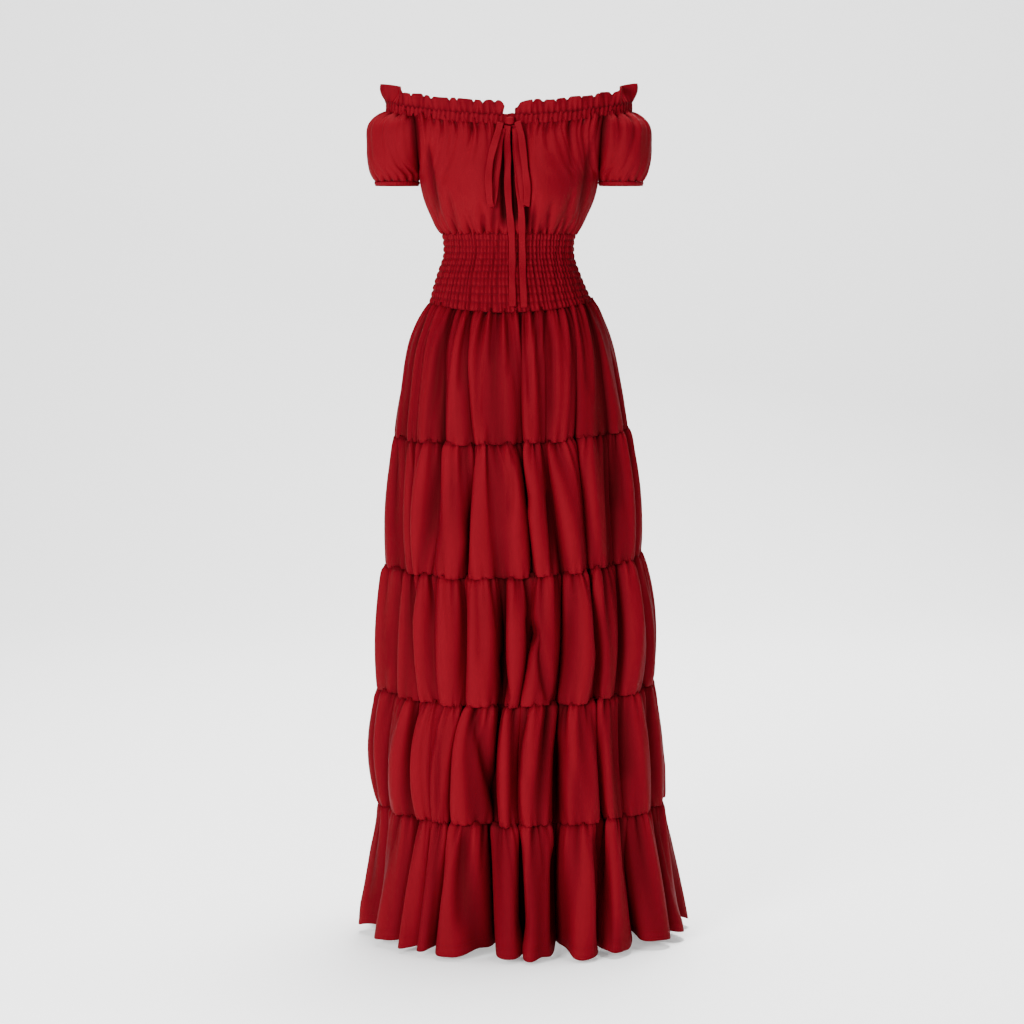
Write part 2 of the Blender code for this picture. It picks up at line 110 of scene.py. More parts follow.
# Rings of the skirt. fold is the depth of its troughs, tilt how much higher the wearer's left is
# than the middle, dip how much lower the front is, and sway how far the ring is to that left.
Ring = namedtuple("Ring", "level height half_width front back fold sway tilt dip")
SKIRT = [
    Ring(0.0, -80, 131.0, 104, 108, 3, 3, 2, 14),
    Ring(0.25, -126, 155.0, 126, 130, 8, 2, 3, 12),
    Ring(0.65, -218, 179.0, 144, 148, 14, 3, 5, 9),
    Ring(1.0, -291, 191.5, 153, 157, 14, 4, 7, 8),
    Ring(1.6, -426, 211.0, 169, 173, 33, 7, 8, 12),
    Ring(2.0, -497, 210.0, 167, 171, 19, 7, 9, 14),
    Ring(2.6, -640, 231.5, 185, 189, 42, 14, 6, 8),
    Ring(3.0, -703, 227.5, 181, 185, 26, 12, 5, 9),
    Ring(3.55, -828, 244.0, 194, 198, 48, 12, 3, 4),
    Ring(4.0, -897, 236.0, 187, 191, 30, 20, 2, 4),
    Ring(4.45, -995, 255.0, 202, 206, 58, 22, 1, 6),
    Ring(5.0, -1099, 272.0, 214, 218, 72, 25, 0, 12),
]
TIERS = [(0, 3), (3, 5), (5, 7), (7, 9), (9, 11)]

# Troughs: angle at the waist seam, the four tier seams and the hem, depth as a share of the ring's
# in the upper two and lower three tiers, how far the fold after it stands back, and how far it leans
# towards rising angle. The first and the twelfth are the side seams.
Trough = namedtuple("Trough", "waist seam1 seam2 seam3 seam4 hem upper lower recess lean")
TROUGHS = [
    Trough(-92, -92, -91, -92, -94, -96, 0.80, 0.70, 3, 0.0),
    Trough(-72, -67, -61, -64, -74, -77, 1.00, 1.00, 5, 0.2),
    Trough(-58, -54, -49, -43, -46, -48, 0.80, 1.10, 2, -0.2),
    Trough(-42, -35, -39, -33, -38, -41, 1.10, 0.35, 1, 0.1),
    Trough(-27, -18, -21, -22, -30, -34, 1.10, 0.90, 0, -0.1),
    Trough(-9, -11, -6, -6, -12, -12, 0.40, 1.05, 6, 0.2),
    Trough(7, 6, 9, 2, -1, 0, 1.10, 0.85, 0, -0.15),
    Trough(22, 17, 23, 18, 15, 14, 0.85, 1.15, 1, 0.15),
    Trough(46, 33, 37, 36, 37, 30, 1.15, 1.10, 4, -0.2),
    Trough(66, 59, 54, 49, 49, 50, 1.00, 0.80, 2, 0.1),
    Trough(80, 77, 75, 72, 70, 67, 0.75, 0.85, 4, -0.1),
    Trough(92, 93, 92, 92, 91, 90, 0.80, 0.70, 0, 0.1),
    Trough(110, 112, 108, 111, 109, 108, 1.00, 0.95, 4, -0.2),
    Trough(124, 128, 127, 125, 127, 126, 0.75, 1.10, 1, 0.2),
    Trough(141, 142, 146, 142, 140, 143, 1.10, 0.80, 3, 0.0),
    Trough(156, 155, 158, 160, 157, 158, 0.90, 1.05, 0, -0.2),
    Trough(171, 172, 170, 174, 176, 174, 1.05, 0.95, 5, 0.15),
    Trough(186, 184, 186, 188, 190, 192, 0.70, 1.10, 1, -0.1),
    Trough(200, 201, 204, 201, 204, 207, 1.10, 0.80, 2, 0.2),
    Trough(217, 215, 219, 221, 219, 221, 0.95, 1.10, 0, -0.15),
    Trough(232, 233, 231, 235, 238, 237, 1.10, 0.75, 4, 0.1),
    Trough(250, 252, 249, 250, 252, 251, 0.80, 1.00, 2, -0.1),
]
SIDE_SEAM = 11
FOLD_SQUARENESS = 2.2
FOLD_SWELL = 0.05
FOLD_SOFTNESS = 0.85  # 0.5 makes the troughs slits, and 1 makes them open
FOLD_TURN = -0.6  # how far every fold turns its steep side to falling angles
FOLD_SKEW = 3.5  # how strongly a leaning fold is steep on one side and sloping on the other

# Soft creases and ridges laid on the tiers: angle and share of the tier's drop at the upper
# and lower end, depth (a ridge is negative) and half width.
Crease = namedtuple("Crease", "tier angle_high share_high angle_low share_low depth half_width")
CREASES = [
    Crease(0, -48, 0.0, -50, 0.8, 3.5, 8), Crease(0, -34, 0.0, -31, 0.6, 3.0, 6),
    Crease(0, -18, 0.0, -16, 0.9, 6.0, 9), Crease(0, -13, 0.0, -12, 0.4, 3.0, 5),
    Crease(0, 0, 0.0, 0, 0.5, 3.0, 6), Crease(0, 14, 0.0, 13, 0.7, 4.0, 6),
    Crease(0, 33, 0.0, 27, 0.9, 4.0, 7), Crease(0, 56, 0.0, 52, 0.7, 3.0, 7),
    Crease(0, 118, 0.0, 120, 0.7, 3.5, 8), Crease(0, 150, 0.0, 148, 0.8, 4.0, 8),
    Crease(0, 179, 0.0, 178, 0.6, 3.5, 7), Crease(0, 209, 0.0, 208, 0.9, 4.0, 8),
    Crease(0, 241, 0.0, 243, 0.6, 3.0, 7),
    Crease(1, -28, 0.0, -25, 0.7, 4.0, 9), Crease(1, 2, 0.0, 1, 0.55, 5.0, 7),
    Crease(1, 12, 0.0, 12, 0.5, 4.0, 7), Crease(1, 24, 0.35, 24, 1.0, 8.0, 7),
    Crease(1, 68, 0.0, 66, 0.6, 4.0, 9), Crease(1, -80, 0.0, -77, 0.7, 4.0, 9),
    Crease(1, 134, 0.0, 136, 0.6, 5.0, 9), Crease(1, 164, 0.3, 162, 1.0, 6.0, 8),
    Crease(1, 192, 0.0, 194, 0.6, 5.0, 8), Crease(1, 224, 0.2, 226, 1.0, 6.0, 9),
    Crease(2, -14, 0.0, -14, 0.7, 6.0, 10), Crease(2, 11, 0.3, 21, 1.0, 9.0, 8),
    Crease(2, -4, 0.6, 1, 1.0, 5.0, 7), Crease(2, 44, 0.0, 43, 0.6, 4.0, 8),
    Crease(2, -70, 0.1, -72, 0.8, 5.0, 10), Crease(2, 117, 0.3, 115, 1.0, 6.0, 9),
    Crease(2, 150, 0.0, 153, 0.7, 6.0, 9), Crease(2, 180, 0.4, 174, 1.0, 8.0, 8),
    Crease(2, 212, 0.0, 213, 0.7, 5.0, 9), Crease(2, 243, 0.3, 240, 1.0, 6.0, 9),
    Crease(3, -17, 0.0, -7, 1.0, 9.0, 8), Crease(3, -36, 0.2, -34, 1.0, 5.0, 9),
    Crease(3, 8, 0.0, 7, 0.6, 5.0, 9), Crease(3, 26, 0.3, 27, 1.0, 4.0, 9),
    Crease(3, -83, 0.1, -84, 0.9, 5.0, 11), Crease(3, 60, 0.0, 60, 0.7, 5.0, 9),
    Crease(3, 101, 0.0, 99, 0.7, 5.0, 9), Crease(3, 133, 0.3, 137, 1.0, 7.0, 9),
    Crease(3, 168, 0.0, 170, 0.6, 5.0, 9), Crease(3, 197, 0.2, 193, 1.0, 8.0, 9),
    Crease(3, 229, 0.0, 230, 0.8, 6.0, 9),
    Crease(4, -60, 0.0, -62, 0.9, 7.0, 12), Crease(4, -24, 0.0, -22, 0.8, 8.0, 12),
    Crease(4, 7, 0.0, 7, 0.9, 8.0, 11), Crease(4, 23, 0.2, 22, 1.0, 8.0, 12),
    Crease(4, 41, 0.0, 40, 1.0, 9.0, 12), Crease(4, 78, 0.0, 79, 0.9, 7.0, 12),
    Crease(4, -87, 0.0, -87, 0.8, 7.0, 12), Crease(4, 117, 0.1, 117, 1.0, 9.0, 12),
    Crease(4, 134, 0.0, 135, 0.8, 7.0, 11), Crease(4, 165, 0.1, 166, 1.0, 9.0, 12),
    Crease(4, 199, 0.0, 198, 0.8, 8.0, 12), Crease(4, 229, 0.1, 229, 1.0, 9.0, 12),
]

# Fine gathers at a sewn edge: half a wave along the cloth, depth, and how soon they fade.
Gather = namedtuple("Gather", "half_wave depth fade")
UNDER_SEAM = [Gather(4.5, 1.6, 12), Gather(7.5, 2.5, 32), Gather(14.0, 3.4, 90), Gather(27.0, 5.5, 400)]
OVER_SEAM = [Gather(4.5, 1.2, 8), Gather(9.0, 1.8, 18)]
WAIST_SEAM = [Gather(4.0, 1.8, 14), Gather(6.5, 2.8, 45), Gather(12.0, 4.2, 150)]
HEM_EDGE = [Gather(22.0, 1.2, 30)]
UNDER_CASING = [Gather(3.8, 2.3, 14), Gather(6.5, 3.2, 30), Gather(13.0, 1.8, 50)]
OVER_SHIRRING = [Gather(4.2, 2.2, 12), Gather(7.0, 3.4, 24), Gather(13.0, 2.0, 30)]
SLEEVE_TOP = [Gather(3.8, 1.5, 12), Gather(7.5, 2.4, 34), Gather(15.0, 2.6, 80)]
SLEEVE_EDGE = [Gather(3.6, 1.4, 9), Gather(7.0, 2.2, 24)]

# Vertical folds of the bodice: across and height of both ends, depth (negative for a rise of the
# cloth) and half width.
Fold = namedtuple("Fold", "across_high high across_low low depth half_width")
FRONT_FOLDS = [
    Fold(-56, 190, -50, 60, -5.0, 34.0), Fold(66, 190, 60, 60, -5.0, 34.0),
    Fold(5, 200, 10, 40, 13.0, 19.0), Fold(-13, 205, -7, 30, 8.0, 4.5), Fold(2, 205, 3, 30, 9.0, 3.8),
    Fold(14, 205, 15, 50, 7.0, 4.2), Fold(34, 120, 27, 28, 5.0, 5.0), Fold(-20, 110, -24, 28, 4.5, 4.5),
    Fold(-27, 190, -20, 80, 3.5, 5.0), Fold(27, 190, 29, 30, 4.5, 4.5), Fold(-42, 80, -36, 28, 3.5, 5.0),
    Fold(44, 95, 40, 28, 4.0, 5.0), Fold(-66, 75, -58, 28, 3.0, 5.0), Fold(67, 80, 58, 28, 3.2, 5.0),
    Fold(-96, 205, -100, 110, 2.5, 6.0), Fold(94, 205, 99, 120, 2.5, 6.0),
    Fold(-134, 190, -112, 50, 5.0, 7.0), Fold(134, 190, 112, 50, 5.0, 7.0),
    Fold(-98, 100, -82, 28, 3.5, 5.5), Fold(100, 100, 84, 28, 3.5, 5.5),
    Fold(-55, 205, -60, 160, 2.2, 5.0), Fold(55, 205, 62, 155, 2.2, 5.0),
]
BACK_FOLDS = [
    Fold(-20, 185, -14, 40, 3.0, 6.0), Fold(18, 185, 16, 50, 3.0, 6.0), Fold(-52, 190, -44, 60, 2.6, 6.0),
    Fold(50, 190, 42, 70, 2.6, 6.0), Fold(-84, 80, -70, 28, 3.0, 5.0), Fold(82, 80, 68, 28, 3.0, 5.0),
    Fold(-110, 200, -104, 80, 2.6, 6.0), Fold(108, 200, 102, 70, 2.6, 6.0), Fold(0, 90, 0, 28, 3.0, 5.0),
]

# Routes of the neck tie, from the knot: across the front, height, and how far it lies off the cloth.
Stop = namedtuple("Stop", "across height lift")
TAIL_RIGHT = [
    Stop(-2, 198, 3.5), Stop(-3, 180, 3), Stop(-2, 150, 3), Stop(-2, 110, 3), Stop(0, 72, 3),
    Stop(4, 34, 3), Stop(5, 5, 2.5), Stop(5, -40, 2.5), Stop(6, -84, 3),
]
TAIL_LEFT = [
    Stop(9.5, 199, 3.5), Stop(10.5, 180, 2), Stop(12, 150, 2), Stop(15, 110, 2), Stop(19, 72, 3),
    Stop(20.5, 34, 3), Stop(21, 5, 2.5), Stop(22, -40, 2.5), Stop(24, -86, 3),
]
LOOP_RIGHT = [
    Stop(-13, 203, 9.5), Stop(-18, 184, 10), Stop(-27, 153, 9), Stop(-31.5, 121, 9), Stop(-31, 98, 9),
    Stop(-29, 76, 8), Stop(-27.5, 71, 5.5), Stop(-26, 76, 3), Stop(-22, 98, 3), Stop(-19, 125, 3.5),
    Stop(-16, 155, 4.5), Stop(-13, 182, 6), Stop(-10, 194, 6),
]
LOOP_LEFT = [
    Stop(13, 204, 9), Stop(18, 188, 11), Stop(22, 160, 11), Stop(26, 124, 11), Stop(29, 98, 11),
    Stop(28, 78, 10.5), Stop(27, 72.5, 8), Stop(25, 78, 5.5), Stop(21, 98, 6), Stop(17, 125, 6),
    Stop(14, 155, 6), Stop(11, 184, 6), Stop(9.5, 194, 7),
]
TIE_STEPS = 6  # points from one stop of a route to the next
KNOT_HALF = (7.2, 4.2, 6.2)  # half the knot's width, depth and height
KNOT_POINTS = (40, 22)


# Sampling ----------------------------------------------------------------------------------------


def smooth(keys, values, at):
    """Values at the wanted places on a smooth curve through the keyed ones. Keys rise."""
    keys = np.asarray(keys, float)
    values = np.asarray(values, float)
    at = np.atleast_1d(np.asarray(at, float))
    slope = np.gradient(values, keys, axis=0, edge_order=2)
    i = np.clip(np.searchsorted(keys, at, side="right") - 1, 0, len(keys) - 2)
    step = keys[i + 1] - keys[i]
    t = (at - keys[i]) / step
    if values.ndim > 1:
        extra = (slice(None),) + (None,) * (values.ndim - 1)
        step, t = step[extra], t[extra]
    start = (2 * t**3 - 3 * t**2 + 1) * values[i] + (t**3 - 2 * t**2 + t) * step * slope[i]
    return start + (3 * t**2 - 2 * t**3) * values[i + 1] + (t**3 - t**2) * step * slope[i + 1]


def spaced(length, fine, coarse, fine_run):
    """Distances down a panel, closer together near both of its edges."""
    rows = [0.0]
    while rows[-1] < length:
        edge = min(rows[-1], length - rows[-1])
        share = min(max(edge / fine_run, 0.0), 1.0)
        rows.append(rows[-1] + fine + (coarse - fine) * share)
    return np.array(rows) * length / rows[-1]


class Ripple:
    """An uneven row of soft waves along a strip of cloth, read at any place along it."""

    def __init__(self, seed, length, half_wave):
        rng = np.random.default_rng(seed)
        count = max(int(round(length / half_wave / 2)) * 2, 4)
        places = (np.arange(count) + rng.uniform(-0.28, 0.28, count)) * length / count
        sizes = rng.uniform(0.35, 1.0, count) * np.where(np.arange(count) % 2, 1.0, -1.0)
        self.length = length
        self.places = np.concatenate([places - length, places, places + length])
        self.sizes = np.concatenate([sizes] * 3)

    def __call__(self, at):
        at = np.mod(at, self.length)
        i = np.clip(np.searchsorted(self.places, at) - 1, 0, len(self.places) - 2)
        t = (at - self.places[i]) / (self.places[i + 1] - self.places[i])
        t = t * t * (3 - 2 * t)
        return self.sizes[i] * (1 - t) + self.sizes[i + 1] * t


def gathered(seed, gathers, along, length, away):
    """How far gathers push each point of a cloth grid, in mm. away is each row's distance from them."""
    total = np.zeros((len(away), len(along)))
    for k, gather in enumerate(gathers):
        ripple = Ripple(seed * 31 + k, length, gather.half_wave)
        drift = Ripple(seed * 31 + k + 500, length, gather.half_wave * 9)
        for row, distance in enumerate(away):
            slip = 0.16 * drift(along) * distance
            total[row] += gather.depth * math.exp(-distance / gather.fade) * ripple(along + slip)
    return total


def grid_normals(grid, closed):
    """Unit normals of a grid of points, outwards where columns run with rising angle."""
    if closed:
        along = np.roll(grid, -1, axis=1) - np.roll(grid, 1, axis=1)
    else:
        along = np.gradient(grid, axis=1)
    down = np.gradient(grid, axis=0)
    normal = np.cross(down, along)
    return normal / np.maximum(np.linalg.norm(normal, axis=2), 1e-12)[:, :, None]


def softened(rows, passes, closed):
    """Rows of points with each point eased towards its neighbours along the row."""
    for _ in range(passes):
        if closed:
            rows = 0.5 * rows + 0.25 * (np.roll(rows, 1, axis=-2) + np.roll(rows, -1, axis=-2))
        else:
            inner = 0.5 * rows[..., 1:-1, :] + 0.25 * (rows[..., :-2, :] + rows[..., 2:, :])
            rows = np.concatenate([rows[..., :1, :], inner, rows[..., -1:, :]], axis=-2)
    return rows


# Materials ---------------------------------------------------------------------------------------


FOLD_SHADE = 0.16  # how much of its colour the cloth keeps deep in a fold, where shade is painted into it
DYE_DARK = 0.86  # the dye's darkest and lightest patches on a face, as shares of its colour
DYE_LIGHT = 1.10
CLOTH_SPECULAR = 0.008  # nearly matt


class Field:
    """A socket in a material. Arithmetic on fields adds Math nodes."""

    def __init__(self, tree, socket):
        self.tree = tree
        self.socket = socket

    def node(self, kind, settings=None, inputs=None, out=0):
        """Adds any other node: its settings first, then the values or links of its sockets."""
        made = self.tree.nodes.new(kind)
        for key, value in (settings or {}).items():
            setattr(made, key, value)
        for key, value in (inputs or {}).items():
            if isinstance(value, Field):
                self.tree.links.new(value.socket, made.inputs[key])
            else:
                made.inputs[key].default_value = value
        return Field(self.tree, made.outputs[out])

    def maths(self, operation, *values):
        return self.node("ShaderNodeMath", {"operation": operation}, dict(enumerate(values)))

    def sine(self):
        return self.maths("SINE", self)

    def __add__(self, other):
        return self.maths("ADD", self, other)

    __radd__ = __add__

    def __mul__(self, other):
        return self.maths("MULTIPLY", self, other)

    __rmul__ = __mul__

    def __sub__(self, other):
        return self.maths("SUBTRACT", self, other)

    def __rsub__(self, other):
        return self.maths("SUBTRACT", other, self)


def new_material(name, roughness, sheen, specular):
    """A material with a Principled shader whose constants are set on its own sockets."""
    material = bpy.data.materials.new(name)
    material.use_nodes = True
    shader = material.node_tree.nodes["Principled BSDF"]
    shader.inputs["Roughness"].default_value = roughness
    shader.inputs["Sheen Weight"].default_value = sheen
    shader.inputs["Sheen Roughness"].default_value = 0.45
    shader.inputs["Specular IOR Level"].default_value = specular
    return material, shader, Field(material.node_tree, None)


def woven_cloth(name, colour, thread, roughness, sheen):
    """Plain-woven dyed cloth with a soft hand: threads, slubs, a faint unevenness of the dye, and shade
    painted into its colour in the folds.
    """
    material, shader, make = new_material(name, roughness, sheen, CLOTH_SPECULAR)
    tree = material.node_tree
    place = make.node("ShaderNodeTexCoord", out="UV")
    solid = make.node("ShaderNodeTexCoord", out="Object")
    warp_way = place.node("ShaderNodeSeparateXYZ", inputs={0: place})
    weft_way = Field(tree, warp_way.socket.node.outputs[1])
    turn = 2 * math.pi / thread
    warp = (warp_way * turn).sine()
    weft = (weft_way * turn).sine()
    weave = warp * weft
    slub = make.node("ShaderNodeTexNoise", inputs={"Vector": place, "Scale": 900.0, "Detail": 2.0})
    dye = make.node("ShaderNodeTexNoise", inputs={"Vector": solid, "Scale": 14.0, "Detail": 3.0})
    crinkle = make.node("ShaderNodeTexNoise", inputs={"Vector": solid, "Scale": 160.0, "Detail": 3.0})
    dark = tuple(c * DYE_DARK for c in colour)
    light = tuple(min(c * DYE_LIGHT, 1.0) for c in colour)
    tone = dye * 0.75 + slub * 0.20 + weave * 0.05
    shade = make.node(
        "ShaderNodeMix",
        {"data_type": "RGBA"},
        {0: tone, 6: (*dark, 1.0), 7: (*light, 1.0)},
        out=2,
    )
    # Painted shade: the colour is mixed towards a far darker red where the mesh's fold attribute says a
    # point lies deep in a fold, in a crease or beside a seam.
    fold = make.node("ShaderNodeAttribute", {"attribute_name": "fold"}, out="Fac")
    deep = tuple(c * FOLD_SHADE for c in colour)
    shade = make.node("ShaderNodeMix", {"data_type": "RGBA"}, {0: fold, 6: shade, 7: (*deep, 1.0)}, out=2)
    tree.links.new(shade.socket, shader.inputs["Base Color"])
    rough = dye * 0.10 + slub * 0.06 + (roughness - 0.08)
    tree.links.new(rough.socket, shader.inputs["Roughness"])
    height = weave * 0.35 + slub * 0.5 + crinkle * 1.2
    bump = make.node("ShaderNodeBump", inputs={"Height": height, "Strength": 0.35, "Distance": 0.0004})
    tree.links.new(bump.socket, shader.inputs["Normal"])
    return material


def plain_floor(name, colour, glow):
    """A matt pale studio floor, lit from within like a light table, with a barely visible grain."""
    material, shader, make = new_material(name, roughness=0.85, sheen=0.0, specular=0.2)
    shader.inputs["Emission Strength"].default_value = glow
    grain = make.node("ShaderNodeTexNoise", inputs={"Scale": 30.0, "Detail": 2.0})
    shade = make.node(
        "ShaderNodeMix",
        {"data_type": "RGBA"},
        {0: grain, 6: (*(c * 0.985 for c in colour), 1.0), 7: (*colour, 1.0)},
        out=2,
    )
    material.node_tree.links.new(shade.socket, shader.inputs["Base Color"])
    return material


# Building ----------------------------------------------------------------------------------------


def add_mesh(name, points, faces, material, uvs=None):
    """A smooth-shaded mesh object. uvs holds one pair for each point, in metres of cloth."""
    mesh = bpy.data.meshes.new(name)
    mesh.from_pydata(np.asarray(points, float).tolist(), [], faces)
    if uvs is not None:
        layer = mesh.uv_layers.new(name="cloth")
        corners = np.empty(len(mesh.loops), dtype=np.int32)
        mesh.loops.foreach_get("vertex_index", corners)
        layer.data.foreach_set("uv", np.asarray(uvs, float)[corners].ravel())
    mesh.materials.append(material)
    mesh.shade_smooth()
    mesh.update()
    made = bpy.data.objects.new(name, mesh)
    bpy.context.scene.collection.objects.link(made)
    return made


def cloth_uvs(grid):
    """Distance along and down the cloth of every point of a grid, in metres."""
    along = np.linalg.norm(np.diff(grid, axis=1), axis=2)
    along = np.concatenate([np.zeros((len(grid), 1)), np.cumsum(along, axis=1)], axis=1)
    widest = along[np.argmax(along[:, -1])]
    down = np.linalg.norm(np.diff(grid, axis=0), axis=2).mean(axis=1)
    down = np.concatenate([[0], np.cumsum(down)])
    uvs = np.empty(grid.shape[:2] + (2,))
    uvs[:, :, 0] = widest[None, :]
    uvs[:, :, 1] = down[:, None]
    return uvs


def sheet_area(grid):
    """Area of a grid of points, in square metres."""
    a, b, c, d = grid[:-1, :-1], grid[1:, :-1], grid[1:, 1:], grid[:-1, 1:]
    first = np.linalg.norm(np.cross(b - a, c - a), axis=2)
    second = np.linalg.norm(np.cross(c - a, d - a), axis=2)
    return float((first + second).sum() / 2)


def add_cloth(name, grid, material, thickness, closed=False, fold=None):
    """A thin shell of cloth, whose outer face is the grid, open or closed round its columns.

    fold says how deep in a fold each point is, from 0 on a face to 1; it is kept as the mesh's fold
    attribute, from which the cloth material paints shade into the colour.
    """
    lines, columns = grid.shape[:2]
    looped = np.concatenate([grid, grid[:, :1]], axis=1) if closed else grid
    uvs = cloth_uvs(looped)[:, :columns].reshape(-1, 2)
    faces = []
    for i in range(lines - 1):
        upper, lower = i * columns, (i + 1) * columns
        for j in range(columns if closed else columns - 1):
            k = (j + 1) % columns
            faces.append((upper + j, lower + j, lower + k, upper + k))
    made = add_mesh(name, grid.reshape(-1, 3), faces, material, uvs)
    # The fold attribute carries the painted shade of the folds and seams.
    depth = made.data.attributes.new("fold", "FLOAT", "POINT")
    if fold is not None:
        depth.data.foreach_set("value", np.clip(fold, 0.0, 1.0).astype(np.float32).ravel())
    shell = made.modifiers.new("cloth thickness", "SOLIDIFY")
    shell.thickness = thickness
    shell.offset = -1.0
    return made


def declare(piece, nodes):
    """Says what a piece rides on and which imported parts it stands for, which it hides."""
    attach(piece, "root")
    if nodes:
        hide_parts(*nodes)


# Torso, sleeves and neck -------------------------------------------------------------------------


def torso_points(size, angles, depth, hollow):
    """Points in plan on a torso ring, in metres."""
    turn = np.radians(angles)
    x = size.half_width * np.sin(turn)
    y = -depth * np.cos(turn) + hollow * np.exp(-((angles / 13.0) ** 2)) * (np.abs(angles) < 90)
    return np.stack([x, y], axis=1) * MM


def neck_dip(x, y):
    """How much lower the neck is at a point round it than over the arms, in metres."""
    width, depth = NECK_SIZE
    level = np.cos(np.arctan2(x / width, -y / depth)) ** 2
    return np.where(y < 0, NECK_DIP_FRONT, NECK_DIP_BACK) * level


def armhole(arm, depth):
    """The angle at which the bodice meets the armhole at a sleeve ring, and its half width there."""
    reach = arm.half_depth * math.sin(math.radians(arm.opening))
    edge = math.degrees(math.acos(min(reach / depth, 1.0)))
    across = arm.centre - arm.half_width * math.cos(math.radians(arm.opening))
    return edge, across / math.sin(math.radians(edge))


def yoke_row(arm, back, count):
    """A bodice row between the two armholes, at a sleeve ring."""
    depth = arm.back if back else arm.front
    edge, half = armhole(arm, depth)
    size = Torso(arm.height, half, arm.front, arm.back, 0.0)
    plan = torso_points(size, np.linspace(-edge, edge, count), depth, 0.0 if back else arm.hollow)
    if back:
        plan = -plan
    height = arm.height * MM - arm.droop * neck_dip(plan[:, 0], plan[:, 1])
    return np.column_stack([plan, height])


def torso_row(size, back, count):
    """A row of a torso ring, across the front or the back."""
    depth = size.back if back else size.front
    plan = torso_points(size, np.linspace(-90, 90, count), depth, 0.0 if back else size.hollow)
    if back:
        plan = -plan
    return np.column_stack([plan, np.full(count, size.height * MM)])


def lofted(key_rows, fine, coarse, fine_run):
    """A smooth grid through rows of points, and how far down the panel each of its rows is, in mm."""
    key_rows = np.array(key_rows)
    steps = np.linalg.norm(np.diff(key_rows, axis=0), axis=2).mean(axis=1) / MM
    keys = np.concatenate([[0], np.cumsum(steps)])
    down = spaced(keys[-1], fine, coarse, fine_run)
    return smooth(keys, key_rows, down), down


def arc_lengths(row):
    """Distance of each point along a row, in millimetres."""
    steps = np.linalg.norm(np.diff(row, axis=0), axis=1)
    return np.concatenate([[0], np.cumsum(steps)]) / MM


def pressed_in(grid, folds, side):
    """Depth of the listed vertical folds at every point of a bodice grid, in mm."""
    across = grid[:, :, 0] / MM * side
    height = grid[:, :, 2] / MM
    total = np.zeros(across.shape)
    for fold in folds:
        share = (fold.high - height) / (fold.high - fold.low)
        middle = fold.across_high + share * (fold.across_low - fold.across_high)
        window = np.clip(1.15 - np.abs(2 * share - 1) ** 3, 0.0, 1.0)
        total += fold.depth * window * np.exp(-(((across - middle) / fold.half_width) ** 2))
    return total


def bodice_grid(back):
    count = 190
    rows = [yoke_row(arm, back, count) for arm in SLEEVE[:4]]
    rows += [torso_row(size, back, count) for size in BODICE]
    grid, down = lofted(rows, 1.6, 4.0, 30.0)
    along = arc_lengths(grid[len(grid) // 3])
    length = along[-1] * 1.2
    push = gathered(3 + back, UNDER_CASING, along, length, down)
    push += gathered(7 + back, OVER_SHIRRING, along, length, down[-1] - down)
    push -= pressed_in(grid, BACK_FOLDS if back else FRONT_FOLDS, -1.0 if back else 1.0)
    puff = np.minimum(down, down[-1] - down)
    push += 2.5 * (1 - np.exp(-puff / 8.0))[:, None] - 1.0
    push, armhole_shade = beside_armholes(grid, push)
    grid = grid + grid_normals(grid, False) * push[:, :, None] * MM
    # The second grid is painted shade: darker in the folds and gathers and beside the armholes.
    return tucked_up(grid, TUCK_HEIGHT, TUCK_BEHIND), np.maximum(fold_shade(push, FOLD_FULL), armhole_shade)


def beside_armholes(grid, push):
    """The push faded at the side edges with a soft rise beside them, and how shaded each point is."""
    count = grid.shape[1]
    steps = np.linalg.norm(np.diff(grid, axis=1), axis=2) / MM
    along = np.concatenate([np.zeros((len(grid), 1)), np.cumsum(steps, axis=1)], axis=1)
    away = np.minimum(along, along[:, -1:] - along)
    edge = np.minimum(np.arange(count), np.arange(count)[::-1]) / 8.0
    push = push * np.clip(edge, 0.12, 1.0)[None, :]
    seam = np.linspace(1.0, 0.0, len(grid))[:, None] ** 0.5
    push = push + ARMHOLE_RISE * seam * np.exp(-(((away - 17.0) / 9.0) ** 2))
    # Painted shade: a dark band along the armhole seam, standing in for the shadow in its valley.
    armhole_shade = 0.95 * np.exp(-((away / 8.5) ** 2))
    return push, np.concatenate([armhole_shade[:1], armhole_shade])


ARMHOLE_RISE = 3.5  # how far the cloth rises beside an armhole seam, in millimetres
FOLD_FULL = 6.5  # how deep a fold of the bodice or a sleeve is when its painted shade is darkest
SHIRRING_FULL = 3.4  # the same for the shirring, measured from this much outside its middle
SHIRRING_LIFT = 0.4
TUCK_HEIGHT = 7.0  # how far up an upper edge runs behind the piece above it
TUCK_BEHIND = 1.5  # and how far behind it


def fold_shade(push, deepest):
    """How deep in a fold each point is, from its push in mm, as the share of painted shade in its colour.
    The first row is given twice, for a tuck.
    """
    fold = np.clip(-push / deepest, 0.0, 1.0) ** 0.9
    return np.concatenate([fold[:1], fold])


def tucked_up(grid, up, inward):
    """A grid with its upper edge carried on up behind the piece it is sewn to, in mm."""
    tuck = grid[:1] - grid_normals(grid, False)[:1] * inward * MM
    tuck[:, :, 2] += up * MM
    return np.concatenate([tuck, grid])


